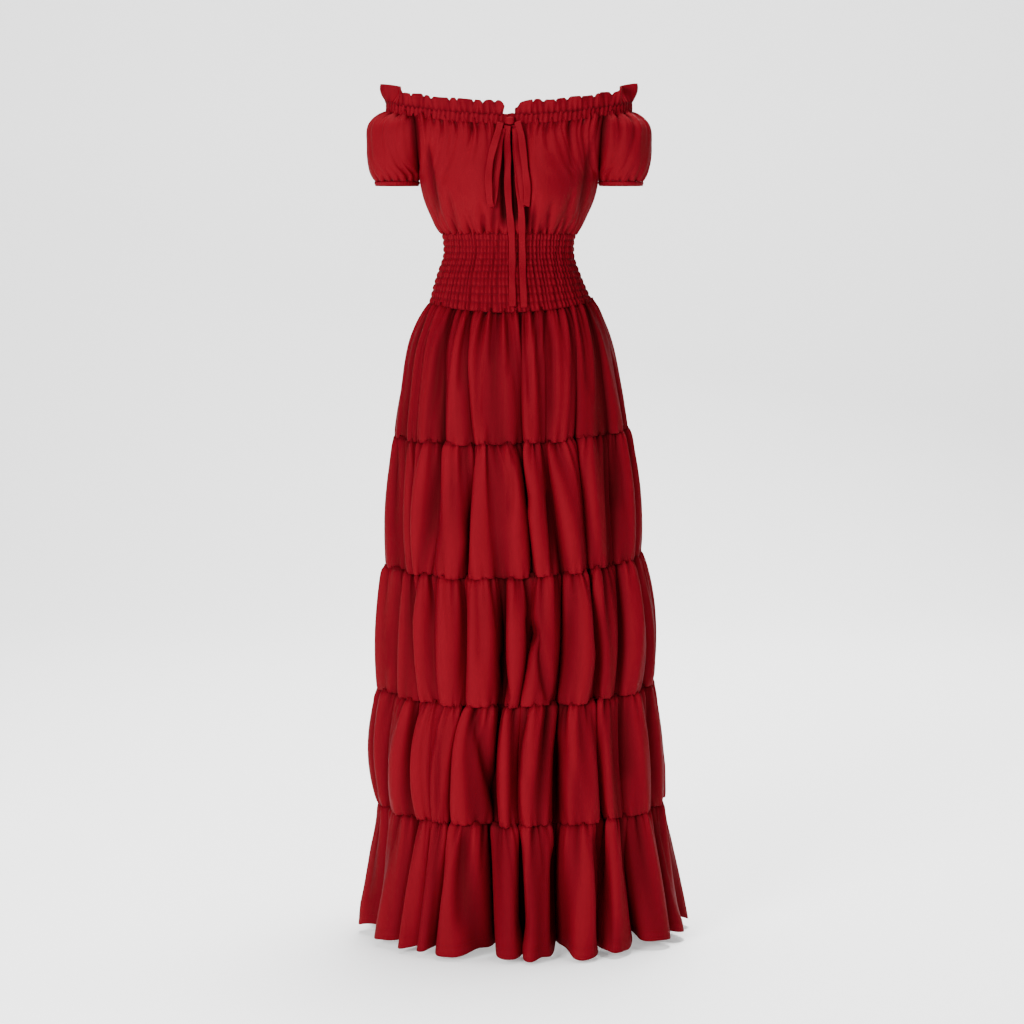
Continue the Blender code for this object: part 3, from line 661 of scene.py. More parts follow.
def sleeve_grid(side):
    count = 150
    rows = []
    for arm in SLEEVE:
        turn = np.radians(np.linspace(arm.opening, 360 - arm.opening, count))
        x = (arm.centre - arm.half_width * np.cos(turn)) * MM
        y = -arm.half_depth * np.sin(turn) * MM
        height = arm.height * MM - arm.droop * neck_dip(x, y)
        row = np.column_stack([side * x, y, height])
        rows.append(row if side > 0 else row[::-1])
    grid, down = lofted(rows, 1.5, 3.2, 20.0)
    along = arc_lengths(grid[len(grid) // 3])
    push = gathered(11 + side, SLEEVE_TOP, along, along[-1] * 1.2, down)
    push += gathered(17 + side, SLEEVE_EDGE, along, along[-1] * 1.2, down[-1] - down)
    push += 3.0 * (1 - np.exp(-np.minimum(down, down[-1] - down) / 8.0))[:, None] - 1.5
    push, armhole_shade = beside_armholes(grid, push)
    # Painted shade: darker in the gathers and beside the armhole seam.
    folds = np.maximum(fold_shade(push, FOLD_FULL), armhole_shade)
    grid = grid + grid_normals(grid, False) * push[:, :, None] * MM
    return tucked_up(grid, TUCK_HEIGHT, TUCK_BEHIND), folds


def shirring_grid(back):
    """The shirred waist: rows of elastic thread with the cloth puffed in small pleats between."""
    rows = [torso_row(size, back, 320) for size in SHIRRING]
    ring = SKIRT[0]
    rows[-1][:, 0] += ring.sway * MM
    rows[-1][:, 2] = seam_heights(ring, rows[-1][:, 0], rows[-1][:, 1])
    keys = [0, 29, 69, 109]
    down = np.linspace(0, keys[-1], SHIRRING_BANDS * BAND_ROWS + 1)
    grid = smooth(keys, np.array(rows), down)
    along = arc_lengths(grid[len(grid) // 2])
    band_height = keys[-1] / SHIRRING_BANDS
    push = np.zeros(grid.shape[:2])
    for i, distance in enumerate(down):
        band = min(int(distance / band_height + 1e-6), SHIRRING_BANDS - 1)
        share = distance / band_height - band
        puff = math.sin(math.pi * min(max(share, 0.0), 1.0)) ** 0.7
        pleats = Ripple(200 + 40 * back, along[-1] * 1.2, 3.3)
        wide = Ripple(300 + 40 * back, along[-1] * 1.2, 9.0)
        slip = 1.3 * Ripple(350 + band + 40 * back, along[-1] * 1.2, 14.0)(along)
        push[i] = (0.35 + 0.65 * puff) * 1.9 * pleats(along + slip) + 1.1 * puff
        push[i] = push[i] + 0.7 * wide(along + 3 * band) - 0.8
    grid = grid + grid_normals(grid, False) * push[:, :, None] * MM
    # The second grid is painted shade, darker where the cloth sinks between the puffs.
    return tucked_up(grid, TUCK_HEIGHT, TUCK_BEHIND), fold_shade(push - SHIRRING_LIFT, SHIRRING_FULL)


def neck_plan(count):
    """The closed plan curve of the neck with evenly spaced points, from the front armhole seam."""
    arm = SLEEVE[0]
    parts = []
    for back in (False, True):
        parts.append(yoke_row(arm, back, 60)[:-1, :2])
        turn = np.radians(np.linspace(arm.opening, 360 - arm.opening, 60))[:-1]
        x = (arm.centre - arm.half_width * np.cos(turn)) * MM
        y = -arm.half_depth * np.sin(turn) * MM
        parts.append(np.column_stack([x, y]) * (-1 if back else 1))
    ring = np.concatenate(parts)
    ring = softened(np.column_stack([ring, np.zeros(len(ring))]), 6, True)
    looped = np.concatenate([ring, ring[:1]])
    along = np.concatenate([[0], np.cumsum(np.linalg.norm(np.diff(looped, axis=0), axis=1))])
    at = np.linspace(0, along[-1], count, endpoint=False)
    even = np.column_stack([np.interp(at, along, looped[:, k]) for k in range(3)])
    return even, along[-1] / MM


def level_normals(row, closed):
    """Level outward normals of a row, in plan."""
    along = np.roll(row, -1, axis=0) - np.roll(row, 1, axis=0) if closed else np.gradient(row, axis=0)
    normal = np.column_stack([along[:, 1], -along[:, 0], np.zeros(len(row))])
    return normal / np.linalg.norm(normal, axis=1)[:, None]


def casing_grid():
    """The elastic channel round the neck, full between its two edges and gathered along them."""
    ring, length = neck_plan(720)
    normal = level_normals(ring, True)
    top = NECK_HEIGHT - neck_dip(ring[:, 0], ring[:, 1])
    along = np.linspace(0, length, len(ring), endpoint=False)
    fine = Ripple(51, length, 3.9)
    broad = Ripple(52, length, 8.0)
    rows, folds = [], []
    for share in np.linspace(0, 1, 9):
        full = math.sin(math.pi * share) ** 0.6
        push = full * (0.3 + 0.5 * broad(along)) + 1.1 * fine(along + 1.5 * share) - 0.5
        # Painted shade: darker at the top, under the frill, and in the pleats.
        folds.append(0.05 + 0.5 * math.exp(-share / 0.12) - 0.4 * fine(along + 1.5 * share))
        row = ring + normal * (push * MM)[:, None]
        row[:, 2] = top - CASING_HEIGHT * share + 0.9 * MM * broad(along + 9)
        rows.append(row)
    return np.array(rows), np.array(folds)


def ruffle_grid(height, rise, parting):
    """The frilled heading over the casing, parted at the centre front."""
    ring, length = neck_plan(1100)
    angles = np.degrees(np.arctan2(ring[:, 0] / NECK_SIZE[0], -ring[:, 1] / NECK_SIZE[1])) % 360
    order = np.argsort(angles)
    angles, ring = angles[order], ring[order]
    keep = (angles > parting) & (angles < 360 - parting)
    angles, ring = angles[keep], ring[keep]
    normal = level_normals(ring, False)
    side = np.column_stack([-normal[:, 1], normal[:, 0], normal[:, 2]])
    along = arc_lengths(ring)
    top = NECK_HEIGHT - neck_dip(ring[:, 0], ring[:, 1])
    wave = Ripple(61, length, 19.0)
    pleat = Ripple(62, length, 4.6)
    crest = Ripple(63, length, 30.0)
    lean = Ripple(64, length, 23.0)
    over_arm = np.clip((np.abs(np.sin(np.radians(angles))) - 0.82) / 0.07, 0.0, 1.0)
    over_arm = over_arm**2 * (3 - 2 * over_arm)
    ends = 1 - 0.5 * np.exp(-np.minimum(along, along[-1] - along) / 5.0)
    tall = (height + rise * over_arm) * ends
    notch = np.exp(-((wave(along + 4.0) / 0.22) ** 2)) * (1 - over_arm)
    lobes = wave(along) * (1 - over_arm) + np.sin(np.radians(angles - 78.0) * 13.0) * over_arm
    rows, folds = [], []
    for share in np.linspace(1, 0, 11):
        flare = share**1.2 * (1 - over_arm) + math.sin(1.9 * share) * over_arm
        swing = 0.6 + (3.6 + 7.5 * over_arm) * flare
        push = 0.2 + (1.5 - 3.5 * over_arm) * share + swing * lobes + (1.3 - 1.0 * share) * pleat(along)
        shift = 2.6 * flare * wave(along + 9.0) + 2.0 * flare * lean(along)
        row = ring + normal * (push * MM)[:, None] + side * (shift * MM)[:, None]
        curl = 1.6 * share * crest(along) - 4.2 * share * notch
        curl = curl + 1.5 * share * over_arm * lobes
        row[:, 2] = top + tall * share + (curl - 0.4) * MM
        rows.append(row)
        # Painted shade: darker at the foot, in the pleats, on the lobes that turn in and at the notches;
        # the tuck behind the casing is painted fully dark.
        foot = 0.5 * math.exp(-share / 0.15) - 0.25 * (1 - share) * pleat(along)
        folds.append(foot - 0.3 * flare * wave(along) + 0.5 * notch * share)
    tuck = ring - normal * 1.6 * MM
    tuck[:, 2] = top - 5.0 * MM
    return np.array(rows + [tuck]), np.array(folds + [np.ones(len(along))])


def cuff_grid(side):
    """The narrow elastic edge of a sleeve, finely pleated."""
    arm = SLEEVE[-1]
    count = 170
    turn = np.linspace(0, 2 * math.pi, count, endpoint=False)
    length = 2 * math.pi * (arm.half_width + arm.half_depth) / 2
    along = turn / (2 * math.pi) * length
    fine = Ripple(71 + side, length, 2.9)
    rows = []
    for share in np.linspace(0, 1, 8):
        full = math.sin(math.pi * min(share * 1.25, 1.0)) ** 0.7
        out = full * 1.2 + (0.5 + 1.1 * max(share - 0.75, 0) * 4) * fine(along)
        x = (arm.centre - (arm.half_width - share + out) * np.cos(turn)) * side
        y = -(arm.half_depth - share + out) * np.sin(turn)
        z = np.full(count, arm.height + 0.4 - 7.0 * share)
        row = np.column_stack([x, y, z]) * MM
        rows.append(row if side > 0 else row[::-1])
    return np.array(rows)


# Skirt -------------------------------------------------------------------------------------------


def seam_heights(ring, x, y):
    """The height of a skirt ring at points in plan, in metres."""
    forward = np.maximum(-y / (ring.front * MM), 0.0)
    return (ring.height + ring.tilt * x / (ring.half_width * MM) - ring.dip * forward**2) * MM


def ring_between(tier, height):
    """A ring of a tier at any of its heights."""
    first, last = TIERS[tier]
    keys = SKIRT[first : last + 1][::-1]
    values = smooth([k.height for k in keys], np.array(keys, float), height)[0]
    ring = Ring(*values)
    level = float(np.interp(height, [k.height for k in keys], [k.level for k in keys]))
    return ring._replace(level=level, height=height)


def fold_ring(ring, points_a_fold):
    """The closed plan curve of a skirt ring over all its folds, and how deep in a fold each point is."""
    stops = np.array([trough[:6] for trough in TROUGHS])
    angles = np.array([np.interp(ring.level, range(6), row) for row in stops])
    shares = np.array([np.interp(ring.level, [1.6, 2.4], [t.upper, t.lower]) for t in TROUGHS])
    recess = np.array([t.recess for t in TROUGHS]) * min(ring.level, 1.0)
    lean = np.array([t.lean for t in TROUGHS])
    after = np.concatenate([angles[1:], angles[:1] + 360])
    depth = shares * ring.fold
    depth_after = np.roll(depth, -1)
    share = np.linspace(0, 1, 73)[None, :]
    angle = np.radians(angles[:, None] + (after - angles)[:, None] * share)
    half_depth = np.where(np.cos(angle) > 0, ring.front, ring.back)
    across, forward = ring.half_width * np.sin(angle) + ring.sway, -half_depth * np.cos(angle)
    normal = np.stack([np.sin(angle) / ring.half_width, -np.cos(angle) / half_depth], axis=2)
    normal /= np.linalg.norm(normal, axis=2)[:, :, None]
    side = np.stack([-normal[:, :, 1], normal[:, :, 0]], axis=2)
    trough = depth[:, None] + (depth_after - depth)[:, None] * share
    crest = share ** (2.0 ** (FOLD_SKEW * lean[:, None] + FOLD_TURN))
    arch = (1 - np.abs(2 * crest - 1) ** FOLD_SQUARENESS) ** FOLD_SOFTNESS
    back = np.minimum(recess[:, None], trough)
    inward = trough + (back - trough) * arch
    aside = FOLD_SWELL * trough * np.sin(2 * np.pi * share)
    aside = aside - lean[:, None] * trough * 0.35 * np.sin(np.pi * share) ** 2
    line = np.stack([across, forward], axis=2) - inward[:, :, None] * normal - aside[:, :, None] * side
    deep = inward / np.maximum(trough.max(), 1e-6)
    rows = []
    for fold, into in zip(line, deep):
        run = np.concatenate([[0], np.cumsum(np.linalg.norm(np.diff(fold, axis=0), axis=1))])
        at = np.linspace(0, run[-1], points_a_fold, endpoint=False)
        parts = (fold[:, 0], fold[:, 1], into)
        rows.append(np.column_stack([np.interp(at, run, part) for part in parts]))
    plan = np.concatenate(rows)
    step = np.linalg.norm(np.roll(plan, -1, axis=0) - plan, axis=1).mean()
    passes = int(np.clip(2 * (ROUNDING / step) ** 2, 1, 40))
    plan[:, :2] = softened(plan[:, :2], passes, True)
    return plan


SHIRRING_BANDS = 11  # puffed bands between the rows of elastic
BAND_ROWS = 5  # rows of the grid in a band
ROUNDING = 4.0  # how far the folds are rounded, in millimetres along the cloth


def tier_grid(tier, points_a_fold):
    """The outer face of one tier, as a closed grid from its upper seam to its lower one or the hem."""
    first, last = TIERS[tier]
    top, low = SKIRT[first].height, SKIRT[last].height
    drop = top - low
    down = spaced(drop, 2.4, 9.0, 30.0)
    hem = tier == len(TIERS) - 1
    rows, folds = [], []
    for distance in down:
        ring = ring_between(tier, top - distance)
        plan = fold_ring(ring, points_a_fold)
        # How deep in a fold each point is, kept for the painted shade.
        folds.append(plan[:, 2] ** 0.95)
        plan = plan[:, :2] * MM
        rows.append(np.column_stack([plan, seam_heights(ring, plan[:, 0], plan[:, 1])]))
    grid, folds = np.array(rows), np.array(folds)
    along = arc_lengths(np.concatenate([grid[len(grid) // 3], grid[len(grid) // 3][:1]]))
    length, along = along[-1], along[:-1]
    push = gathered(21 + tier, WAIST_SEAM if tier == 0 else UNDER_SEAM, along, length, down)
    if hem:
        push += gathered(41 + tier, HEM_EDGE, along, length, drop - down)
    else:
        push += gathered(31 + tier, OVER_SEAM, along, length, drop - down)
    # Painted shade: darker deep in the folds and gathers, just under the seam above and just over the seam
    # below.
    folds = folds + np.clip(-push / 13.0, -0.2, 0.8) + 0.35 * np.exp(-down / 2.5)[:, None]
    if not hem:
        folds = folds + 0.12 * np.exp(-(drop - down) / 2.5)[:, None]
    angles = np.degrees(np.arctan2(grid[:, :, 0], -grid[:, :, 1]))
    share = (down / drop)[:, None]
    for crease in CREASES:
        if crease.tier != tier:
            continue
        part = (share - crease.share_high) / (crease.share_low - crease.share_high)
        middle = crease.angle_high + part * (crease.angle_low - crease.angle_high)
        off = (angles - middle + 180) % 360 - 180
        arc = np.radians(off) * ring_between(tier, (top + low) / 2).front * 1.1
        ends = np.clip(1.2 - np.abs(2 * part - 1) ** 3, 0.0, 1.0)
        crease_push = crease.depth * ends * np.exp(-((arc / crease.half_width) ** 2))
        push -= crease_push
        # Painted shade in the crease.
        folds = folds + crease_push / 30.0
    pinch = PINCH_UNDER * np.exp(-down / 5.0)
    if not hem:
        pinch = pinch + PINCH_OVER * np.exp(-(drop - down) / 6.0)
    push += (2.0 - pinch)[:, None]
    grid = grid + grid_normals(grid, True) * push[:, :, None] * MM
    sag = np.zeros(grid.shape[:2])
    if tier > 0:
        sag += np.exp(-down / 30.0)[:, None] * seam_steps(tier, points_a_fold)[None, :]
    if not hem:
        sag += np.exp(-(drop - down) / 30.0)[:, None] * seam_steps(tier + 1, points_a_fold)[None, :]
    else:
        sag += HEM_RISE * np.exp(-(drop - down) / 45.0)[:, None] * folds[-1][None, :]
    grid[:, :, 2] += sag * MM
    tuck = grid[:1] - grid_normals(grid, True)[:1] * TUCK_IN * MM
    tuck[:, :, 2] += TUCK_UP * MM
    ease = grid[:1] - grid_normals(grid, True)[:1] * TUCK_IN * 0.5 * MM
    ease[:, :, 2] += TUCK_UP * 0.35 * MM
    return np.concatenate([tuck, ease, grid]), np.concatenate([folds[:1], folds[:1], folds]), down


def seam_steps(seam, points_a_fold):
    """How far a seam rises or falls from fold to fold, in mm."""
    count = len(TROUGHS)
    return SEAM_STEP * Ripple(80 + seam, count, 0.9)(np.arange(count * points_a_fold) / points_a_fold)


PINCH_UNDER = 3.0  # how far the cloth is drawn in at the seam above it
PINCH_OVER = 2.4  # and at the seam below it
HEM_RISE = 15.0  # how far the hem is drawn up in the deepest folds
SEAM_STEP = 1.9  # how far a seam rises and falls from fold to fold
TUCK_IN = 2.5  # how far in the seam allowance stands, behind the edge above it
TUCK_UP = 6.0  # and how far up


# Tie ---------------------------------------------------------------------------------------------


def curve_through(stops, steps):
    """Points on a smooth line through the stops of a route."""
    points = np.array(stops, float)
    keys = np.concatenate([[0], np.cumsum(np.linalg.norm(np.diff(points[:, :2], axis=0), axis=1))])
    at = np.concatenate(
        [np.linspace(a, b, steps, endpoint=False) for a, b in zip(keys, keys[1:])] + [keys[-1:]]
    )
    return smooth(keys, points, at)


class FrontFace:
    """The outermost cloth of the front panels, read at a place across and a height."""

    def __init__(self, grids):
        self.points = np.concatenate([grid.reshape(-1, 3) for grid in grids])
        near = np.abs(self.points[:, 0]) < 60 * MM
        self.points = self.points[near]

    def depth(self, across, height):
        """Y of the most forward cloth within the half width of a tie, in metres."""
        off = np.hypot(self.points[:, 0] - across, self.points[:, 2] - height)
        close = self.points[off < 5 * MM]
        if not len(close):
            close = self.points[np.argsort(off)[:4]]
        return close[:, 1].min()


def tie_path(stops, face):
    """The centreline of a tie over the front, in metres."""
    line = curve_through(stops, TIE_STEPS)
    places = [(x * MM, face.depth(x * MM, z * MM) - lift * 0.75 * MM, z * MM) for x, z, lift in line]
    path = np.array(places)
    path[:, 1] = softened(path, 6, False)[:, 1]
    return path


def add_tie(name, path, width, thickness, material, seed):
    """A flat folded tie along a path: rounded edges, a slight cup and a little twist."""
    along = np.gradient(path, axis=0)
    along /= np.linalg.norm(along, axis=1)[:, None]
    run = arc_lengths(path)
    twist = 0.30 * Ripple(seed, run[-1] + 40, 34.0)(run)
    across = np.array([1.0, 0.0, 0.0]) - along * along[:, :1]
    across /= np.linalg.norm(across, axis=1)[:, None]
    face = np.cross(across, along)
    section = []
    for k in range(12):
        turn = 2 * math.pi * k / 12
        flat = math.copysign(abs(math.cos(turn)) ** 0.45, math.cos(turn))
        section.append((flat, math.sin(turn)))
    rows = []
    for i in range(len(path)):
        side = across[i] * math.cos(twist[i]) + face[i] * math.sin(twist[i])
        out = face[i] * math.cos(twist[i]) - across[i] * math.sin(twist[i])
        slim = 1.0 - 0.06 * math.sin(run[i] / 9.0)
        cup = 0.35 * thickness
        row = []
        for u, v in section:
            raised = out * (v * thickness / 2 + cup * (1 - u * u))
            row.append(path[i] + side * u * width / 2 * slim + raised)
        rows.append(row)
    rows = np.array(rows)
    count = len(section)
    faces = [tuple(range(count))]
    for i in range(len(rows) - 1):
        for k in range(count):
            a, b = i * count + k, i * count + (k + 1) % count
            faces.append((b, a, a + count, b + count))
    end = (len(rows) - 1) * count
    faces.append(tuple(range(end + count - 1, end - 1, -1)))
    uvs = np.array([[u * width / 2, r * MM] for r in run for u, _ in section])
    return add_mesh(name, rows.reshape(-1, 3), faces, material, uvs)


# Stitches ----------------------------------------------------------------------------------------


def add_stitches(name, lines, normals, stitch, gap, radius, material):
    """Short raised threads end to end along lines on the cloth."""
    points, faces = [], []
    for line, normal in zip(lines, normals):
        run = arc_lengths(line)
        starts = np.arange(gap, run[-1] - stitch, stitch + gap)
        for start in starts:
            at = [start, start + stitch * 0.5, start + stitch]
            place = np.column_stack([np.interp(at, run, line[:, k]) for k in range(3)])
            out = np.array([np.interp(start, run, normal[:, k]) for k in range(3)])
            out /= np.linalg.norm(out)
            along = place[2] - place[0]
            along /= np.linalg.norm(along)
            side = np.cross(along, out)
            base = len(points)
            for p, lift, size in zip(place, (0.0, 0.5, 0.0), (0.55, 1.0, 0.55)):
                for k in range(4):
                    turn = math.pi / 2 * k + math.pi / 4
                    spoke = side * math.cos(turn) + out * math.sin(turn)
                    points.append(p + (out * (lift + 0.25) + spoke * size) * radius * MM)
            for ring in (0, 4):
                for k in range(4):
                    a, b = base + ring + k, base + ring + (k + 1) % 4
                    faces.append((a, b, b + 4, a + 4))
            faces.append(tuple(base + k for k in (3, 2, 1, 0)))
            faces.append(tuple(base + k for k in (8, 9, 10, 11)))
    return add_mesh(name, points, faces, material, np.zeros((len(points), 2)))


# Settings ----------------------------------------------------------------------------------------


class DressSettings(bpy.types.PropertyGroup):
    """Sizes and colours of the dress."""

    thickness: FloatProperty(
        name="Cloth thickness",
        description="Thickness of the cloth shells",
        default=0.0009,
        unit="LENGTH",
    )
    cloth_colour: FloatVectorProperty(
        name="Cloth colour", description="Dye of the dress", subtype="COLOR", size=3,
        default=(0.106, 0.0030, 0.0064),
    )
    tie_colour: FloatVectorProperty(
        name="Tie colour", description="Dye of the tie", subtype="COLOR", size=3,
        default=(0.106, 0.0030, 0.0064),
    )
    floor_colour: FloatVectorProperty(
        name="Floor colour", description="Paint of the floor", subtype="COLOR", size=3,
        default=(0.9, 0.9, 0.9),
    )
    floor_glow: FloatProperty(name="Floor glow", description="Light given out by the floor", default=0.25)
    roughness: FloatProperty(
        name="Roughness", description="Roughness of the cloth", default=0.52, subtype="FACTOR"
    )
    sheen: FloatProperty(name="Sheen", description="Soft sheen of the nap", default=0.0, subtype="FACTOR")
    thread: FloatProperty(
        name="Thread spacing", description="Distance from thread to thread", default=0.0007, unit="LENGTH"
    )
    frill_height: FloatProperty(
        name="Frill height", description="Height of the heading over the casing", default=0.0210,
        unit="LENGTH",
    )
    frill_rise: FloatProperty(
        name="Frill rise", description="How much taller it stands over the arms", default=0.0068,
        unit="LENGTH",
    )
    frill_parting: FloatProperty(
        name="Frill parting", description="Degrees each side of the centre front", default=2.6
    )
    tie_width: FloatProperty(
        name="Tie width", description="Width of the tie", default=0.0108, unit="LENGTH"
    )
    tie_thickness: FloatProperty(
        name="Tie thickness", description="Thickness of the folded tie", default=0.0014, unit="LENGTH"
    )
    fold_points: IntProperty(
        name="Points a fold", description="Columns of the mesh in each fold of the upper tiers", default=34
    )


def settings():
    return bpy.context.scene.dress


_made = {}


def cloth_material():
    if "cloth" not in _made:
        s = settings()
        _made["cloth"] = woven_cloth("wine red woven cloth", s.cloth_colour, s.thread, s.roughness, s.sheen)
    return _made["cloth"]


def tie_material():
    if "tie" not in _made:
        s = settings()
        _made["tie"] = woven_cloth("wine red tie cloth", s.tie_colour, s.thread, s.roughness, s.sheen)
    return _made["tie"]


def thread_material():
    if "thread" not in _made:
        s = settings()
        dark = tuple(c * 0.8 for c in s.cloth_colour)
        _made["thread"] = woven_cloth("wine red thread", dark, s.thread * 2, 0.45, 0.0)
    return _made["thread"]


def panel_grid(name):
    return _made["grid " + name]


# Stage -------------------------------------------------------------------------------------------

# Soft square lamps: place and target in metres, power in watts and side in metres.
Lamp = namedtuple("Lamp", "name place target power size")
LAMPS = [
    Lamp("key", (-2.3, -4.0, 0.55), (0, 0, -0.55), 405.0, 1.6),
    Lamp("fill", (1.6, -4.3, 0.6), (0, 0, -0.4), 60.0, 2.2),
    Lamp("top", (0.2, 0.5, 3.6), (0, 0.6, -1.1), 540.0, 1.6),
    Lamp("rear", (0.8, 3.6, 1.6), (0, 0, -0.4), 150.0, 2.4),
]
WORLD_STRENGTH = 0.34
FLOOR_GAP = 0.004  # how far the floor is below the hem
FLOOR_REACH = 14.0  # how far the floor runs to both sides and to the front
WALL_PLACE = 5.0  # where the floor turns up into a wall at the rear
WALL_BEND = 1.5  # the radius of that turn
WALL_HEIGHT = 8.0
CAMERA_PLACE = (0.0049, -4.5, 0.0356)
CAMERA_DOWN = 5.78  # degrees that it looks down
CAMERA_LENS = 98.0
CAMERA_SENSOR = 36.0


# Operators ---------------------------------------------------------------------------------------


class DRESS_OT_stage(bpy.types.Operator):
    """Adds the floor, the lights and the camera"""

    bl_idname = "dress.stage"
    bl_label = "Floor, light and camera"

    def execute(self, context):
        scene = context.scene
        floor_height = CAD_BOX[0][2] - FLOOR_GAP
        size, rear, bend = FLOOR_REACH, WALL_PLACE, WALL_BEND
        profile = [(-size, 0.0), (rear - bend, 0.0)]
        for k in range(1, 9):
            turn = math.pi / 2 * k / 8
            profile.append((rear - bend + bend * math.sin(turn), bend - bend * math.cos(turn)))
        profile.append((rear, WALL_HEIGHT))
        points, faces = [], []
        for y, z in profile:
            points += [(-size, y, floor_height + z), (size, y, floor_height + z)]
        for k in range(len(profile) - 1):
            faces.append((2 * k, 2 * k + 1, 2 * k + 3, 2 * k + 2))
        s = settings()
        paint = plain_floor("pale floor", s.floor_colour, s.floor_glow)
        floor = add_mesh("studio_floor", points, faces, paint)

        world = bpy.data.worlds.new("studio")
        scene.world = world
        world.use_nodes = True
        back = world.node_tree.nodes["Background"]
        back.inputs["Color"].default_value = (1.0, 1.0, 1.0, 1.0)
        back.inputs["Strength"].default_value = WORLD_STRENGTH

        for lamp in LAMPS:
            light = bpy.data.lights.new(lamp.name, "AREA")
            light.shape = "RECTANGLE"
            light.size, light.size_y = lamp.size, lamp.size
            light.energy = lamp.power
            holder = bpy.data.objects.new(lamp.name, light)
            holder.location = lamp.place
            aim = Vector(lamp.target) - Vector(lamp.place)
            holder.rotation_euler = aim.to_track_quat("-Z", "Y").to_euler()
            scene.collection.objects.link(holder)

        camera = bpy.data.cameras.new("camera")
        camera.lens = CAMERA_LENS
        camera.sensor_width = CAMERA_SENSOR
        viewer = bpy.data.objects.new("camera", camera)
        viewer.location = CAMERA_PLACE
        viewer.rotation_euler = (math.radians(90 - CAMERA_DOWN), 0, 0)
        scene.collection.objects.link(viewer)
        scene.camera = viewer
        return {"FINISHED"}


class DRESS_OT_bodice(bpy.types.Operator):
    """Makes the gathered bodice, front and back"""

    bl_idname = "dress.bodice"
    bl_label = "Bodice"

    def execute(self, context):
        for back, name in ((False, "bodice_front"), (True, "bodice_back")):
            grid, fold = bodice_grid(back)
            _made["grid " + name] = grid
            piece = add_cloth("dress_" + name, grid, cloth_material(), settings().thickness, fold=fold)
            declare(piece, [name])
        return {"FINISHED"}


class DRESS_OT_sleeves(bpy.types.Operator):
    """Makes the two puff sleeves and their elastic edges"""

    bl_idname = "dress.sleeves"
    bl_label = "Sleeves"

    def execute(self, context):
        for name, side in (("left", 1), ("right", -1)):
            grid, fold = sleeve_grid(side)
            s = settings()
            piece = add_cloth("dress_sleeve_" + name, grid, cloth_material(), s.thickness, fold=fold)
            declare(piece, ["sleeve_" + name])
            cuff = cuff_grid(side)
            band = add_cloth("dress_cuff_" + name, cuff, cloth_material(), s.thickness, closed=True)
            declare(band, ["cuff_" + name])
        return {"FINISHED"}


class DRESS_OT_neck(bpy.types.Operator):
    """Makes the elastic neck casing and its frilled heading"""

    bl_idname = "dress.neck"
    bl_label = "Neck"

    def execute(self, context):
        s = settings()
        grid, fold = casing_grid()
        casing = add_cloth("dress_neck_casing", grid, cloth_material(), s.thickness, closed=True, fold=fold)
        declare(casing, ["neck_casing"])
        grid, fold = ruffle_grid(s.frill_height, s.frill_rise, s.frill_parting)
        heading = add_cloth("dress_neck_ruffle", grid, cloth_material(), s.thickness, fold=fold)
        declare(heading, ["neck_ruffle"])
        return {"FINISHED"}


class DRESS_OT_waist(bpy.types.Operator):
    """Makes the shirred waist, front and back"""

    bl_idname = "dress.waist"
    bl_label = "Shirred waist"

    def execute(self, context):
        for back, name in ((False, "shirring_front"), (True, "shirring_back")):
            grid, fold = shirring_grid(back)
            _made["grid " + name] = grid
            piece = add_cloth("dress_" + name, grid, cloth_material(), settings().thickness, fold=fold)
            declare(piece, [name])
        return {"FINISHED"}


TIER_ALLOWANCE = 0.012  # cloth added to a tier's drop for what is turned in, in metres
CUT_EASE = 1.02  # the width worked out for a tier, as a share of its finished cloth's area over its drop


class DRESS_OT_skirt(bpy.types.Operator):
    """Makes the five gathered tiers of the skirt, front and back"""

    bl_idname = "dress.skirt"
    bl_label = "Skirt tiers"

    def execute(self, context):
        s = settings()
        for tier in range(len(TIERS)):
            points = s.fold_points + (8 if tier > 2 else 0)
            grid, fold, down = tier_grid(tier, points)
            cut = SIDE_SEAM * points
            rear = np.concatenate([grid[:, cut:], grid[:, :1]], axis=1)
            rear_fold = np.concatenate([fold[:, cut:], fold[:, :1]], axis=1)
            halves = {"front": grid[:, : cut + 1], "back": rear}
            folds = {"front": fold[:, : cut + 1], "back": rear_fold}
            for side, half in halves.items():
                name = f"tier_{tier + 1}_{side}"
                _made["grid " + name] = half
                piece = add_cloth("dress_" + name, half, cloth_material(), s.thickness, fold=folds[side])
                declare(piece, [name])
                area = sheet_area(half)
                drop = down[-1] * MM + TIER_ALLOWANCE
                width = round(area / drop * CUT_EASE, 2)
        return {"FINISHED"}


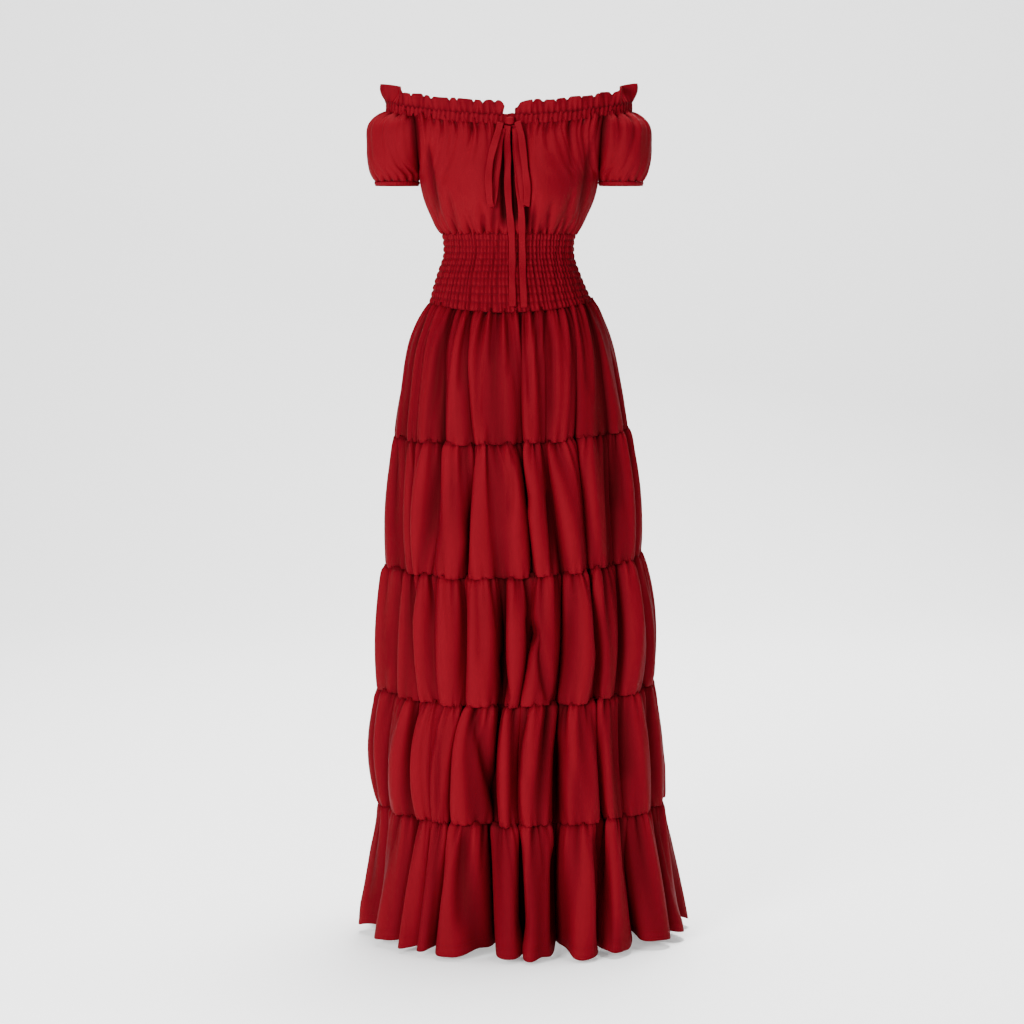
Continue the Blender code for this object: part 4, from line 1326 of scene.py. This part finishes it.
class DRESS_OT_tie(bpy.types.Operator):
    """Makes the neck tie: the knot, two loops and two tails"""

    bl_idname = "dress.tie"
    bl_label = "Tie"

    def execute(self, context):
        s = settings()
        front = ("bodice_front", "shirring_front", "tier_1_front")
        face = FrontFace([panel_grid(name) for name in front])
        routes = (
            ("tie_tail_right", TAIL_RIGHT, "bare"),
            ("tie_tail_left", TAIL_LEFT, "bare"),
            ("tie_loop_right", LOOP_RIGHT, "object"),
            ("tie_loop_left", LOOP_LEFT, "object"),
        )
        for k, (name, stops, far_end) in enumerate(routes):
            path = tie_path(stops, face)
            piece = add_tie("dress_" + name, path, s.tie_width, s.tie_thickness, tie_material(), 90 + k)
            declare(piece, [name])
        self.knot(face)
        return {"FINISHED"}

    def knot(self, face):
        """The knot, a soft tight wrap with the strands' creases in it."""
        centre = np.array([1.5 * MM, face.depth(0.0, 0.203) - 4.0 * MM, 0.2055])
        half = np.array(KNOT_HALF) * MM
        around, along = KNOT_POINTS
        points, faces = [], []
        for i in range(1, along):
            lean = math.pi * i / along
            for j in range(around):
                turn = 2 * math.pi * j / around
                ball = np.array(
                    [math.sin(lean) * math.cos(turn), math.sin(lean) * math.sin(turn), math.cos(lean)]
                )
                ball = np.sign(ball) * np.abs(ball) ** 0.8
                crease = 1.0 - 0.10 * math.cos(5.0 * ball[2] + 2.2 * ball[0]) ** 8
                points.append(centre + half * ball * crease)
        for i in range(along - 2):
            for j in range(around):
                a, b = i * around + j, i * around + (j + 1) % around
                faces.append((a, a + around, b + around, b))
        faces.append(tuple(range(around)))
        faces.append(tuple(range((along - 1) * around - 1, (along - 2) * around - 1, -1)))
        piece = add_mesh("dress_tie_knot", points, faces, tie_material(), np.array(points)[:, [0, 2]])
        declare(piece, ["tie_knot"])


ELASTIC_STITCH = (2.6, 0.9, 0.32)  # length of a stitch, gap and radius of the thread
HEM_STITCH = (2.8, 1.0, 0.30)
HEM_ROW = -5  # the row of the grid that the hem is sewn along


class DRESS_OT_stitches(bpy.types.Operator):
    """Adds the stitching of the shirring and the hem"""

    bl_idname = "dress.stitches"
    bl_label = "Stitching"

    def execute(self, context):
        lines, normals = [], []
        for name in ("shirring_front", "shirring_back"):
            grid = panel_grid(name)
            out = grid_normals(grid, False)
            for band in range(1, SHIRRING_BANDS):
                row = 1 + BAND_ROWS * band
                lines.append(grid[row])
                normals.append(out[row])
        thread = thread_material()
        rows = add_stitches("dress_stitches_shirring", lines, normals, *ELASTIC_STITCH, thread)
        declare(rows, [])
        lines, normals = [], []
        for name in ("tier_5_front", "tier_5_back"):
            grid = panel_grid(name)
            out = grid_normals(grid, False)
            lines.append(grid[HEM_ROW])
            normals.append(out[HEM_ROW])
        hem = add_stitches("dress_stitches_hem", lines, normals, *HEM_STITCH, thread)
        declare(hem, [])
        return {"FINISHED"}


class DRESS_PT_panel(bpy.types.Panel):
    """The dress tools"""

    bl_idname = "DRESS_PT_panel"
    bl_label = "Peasant dress"
    bl_space_type = "VIEW_3D"
    bl_region_type = "UI"
    bl_category = "Dress"

    def draw(self, context):
        for name in DressSettings.__annotations__:
            self.layout.prop(context.scene.dress, name)
        for operator in OPERATORS:
            self.layout.operator(operator.bl_idname)


OPERATORS = (
    DRESS_OT_stage,
    DRESS_OT_bodice,
    DRESS_OT_sleeves,
    DRESS_OT_neck,
    DRESS_OT_waist,
    DRESS_OT_skirt,
    DRESS_OT_tie,
    DRESS_OT_stitches,
)
CLASSES = (DressSettings, *OPERATORS, DRESS_PT_panel)


def register():
    for each in CLASSES:
        bpy.utils.register_class(each)
    bpy.types.Scene.dress = PointerProperty(type=DressSettings)


def unregister():
    del bpy.types.Scene.dress
    for each in reversed(CLASSES):
        bpy.utils.unregister_class(each)


def main():
    register()
    bpy.ops.dress.stage()
    bpy.ops.dress.bodice()
    bpy.ops.dress.sleeves()
    bpy.ops.dress.neck()
    bpy.ops.dress.waist()
    bpy.ops.dress.skirt()
    bpy.ops.dress.tie()
    bpy.ops.dress.stitches()


if __name__ == "__main__":
    main()
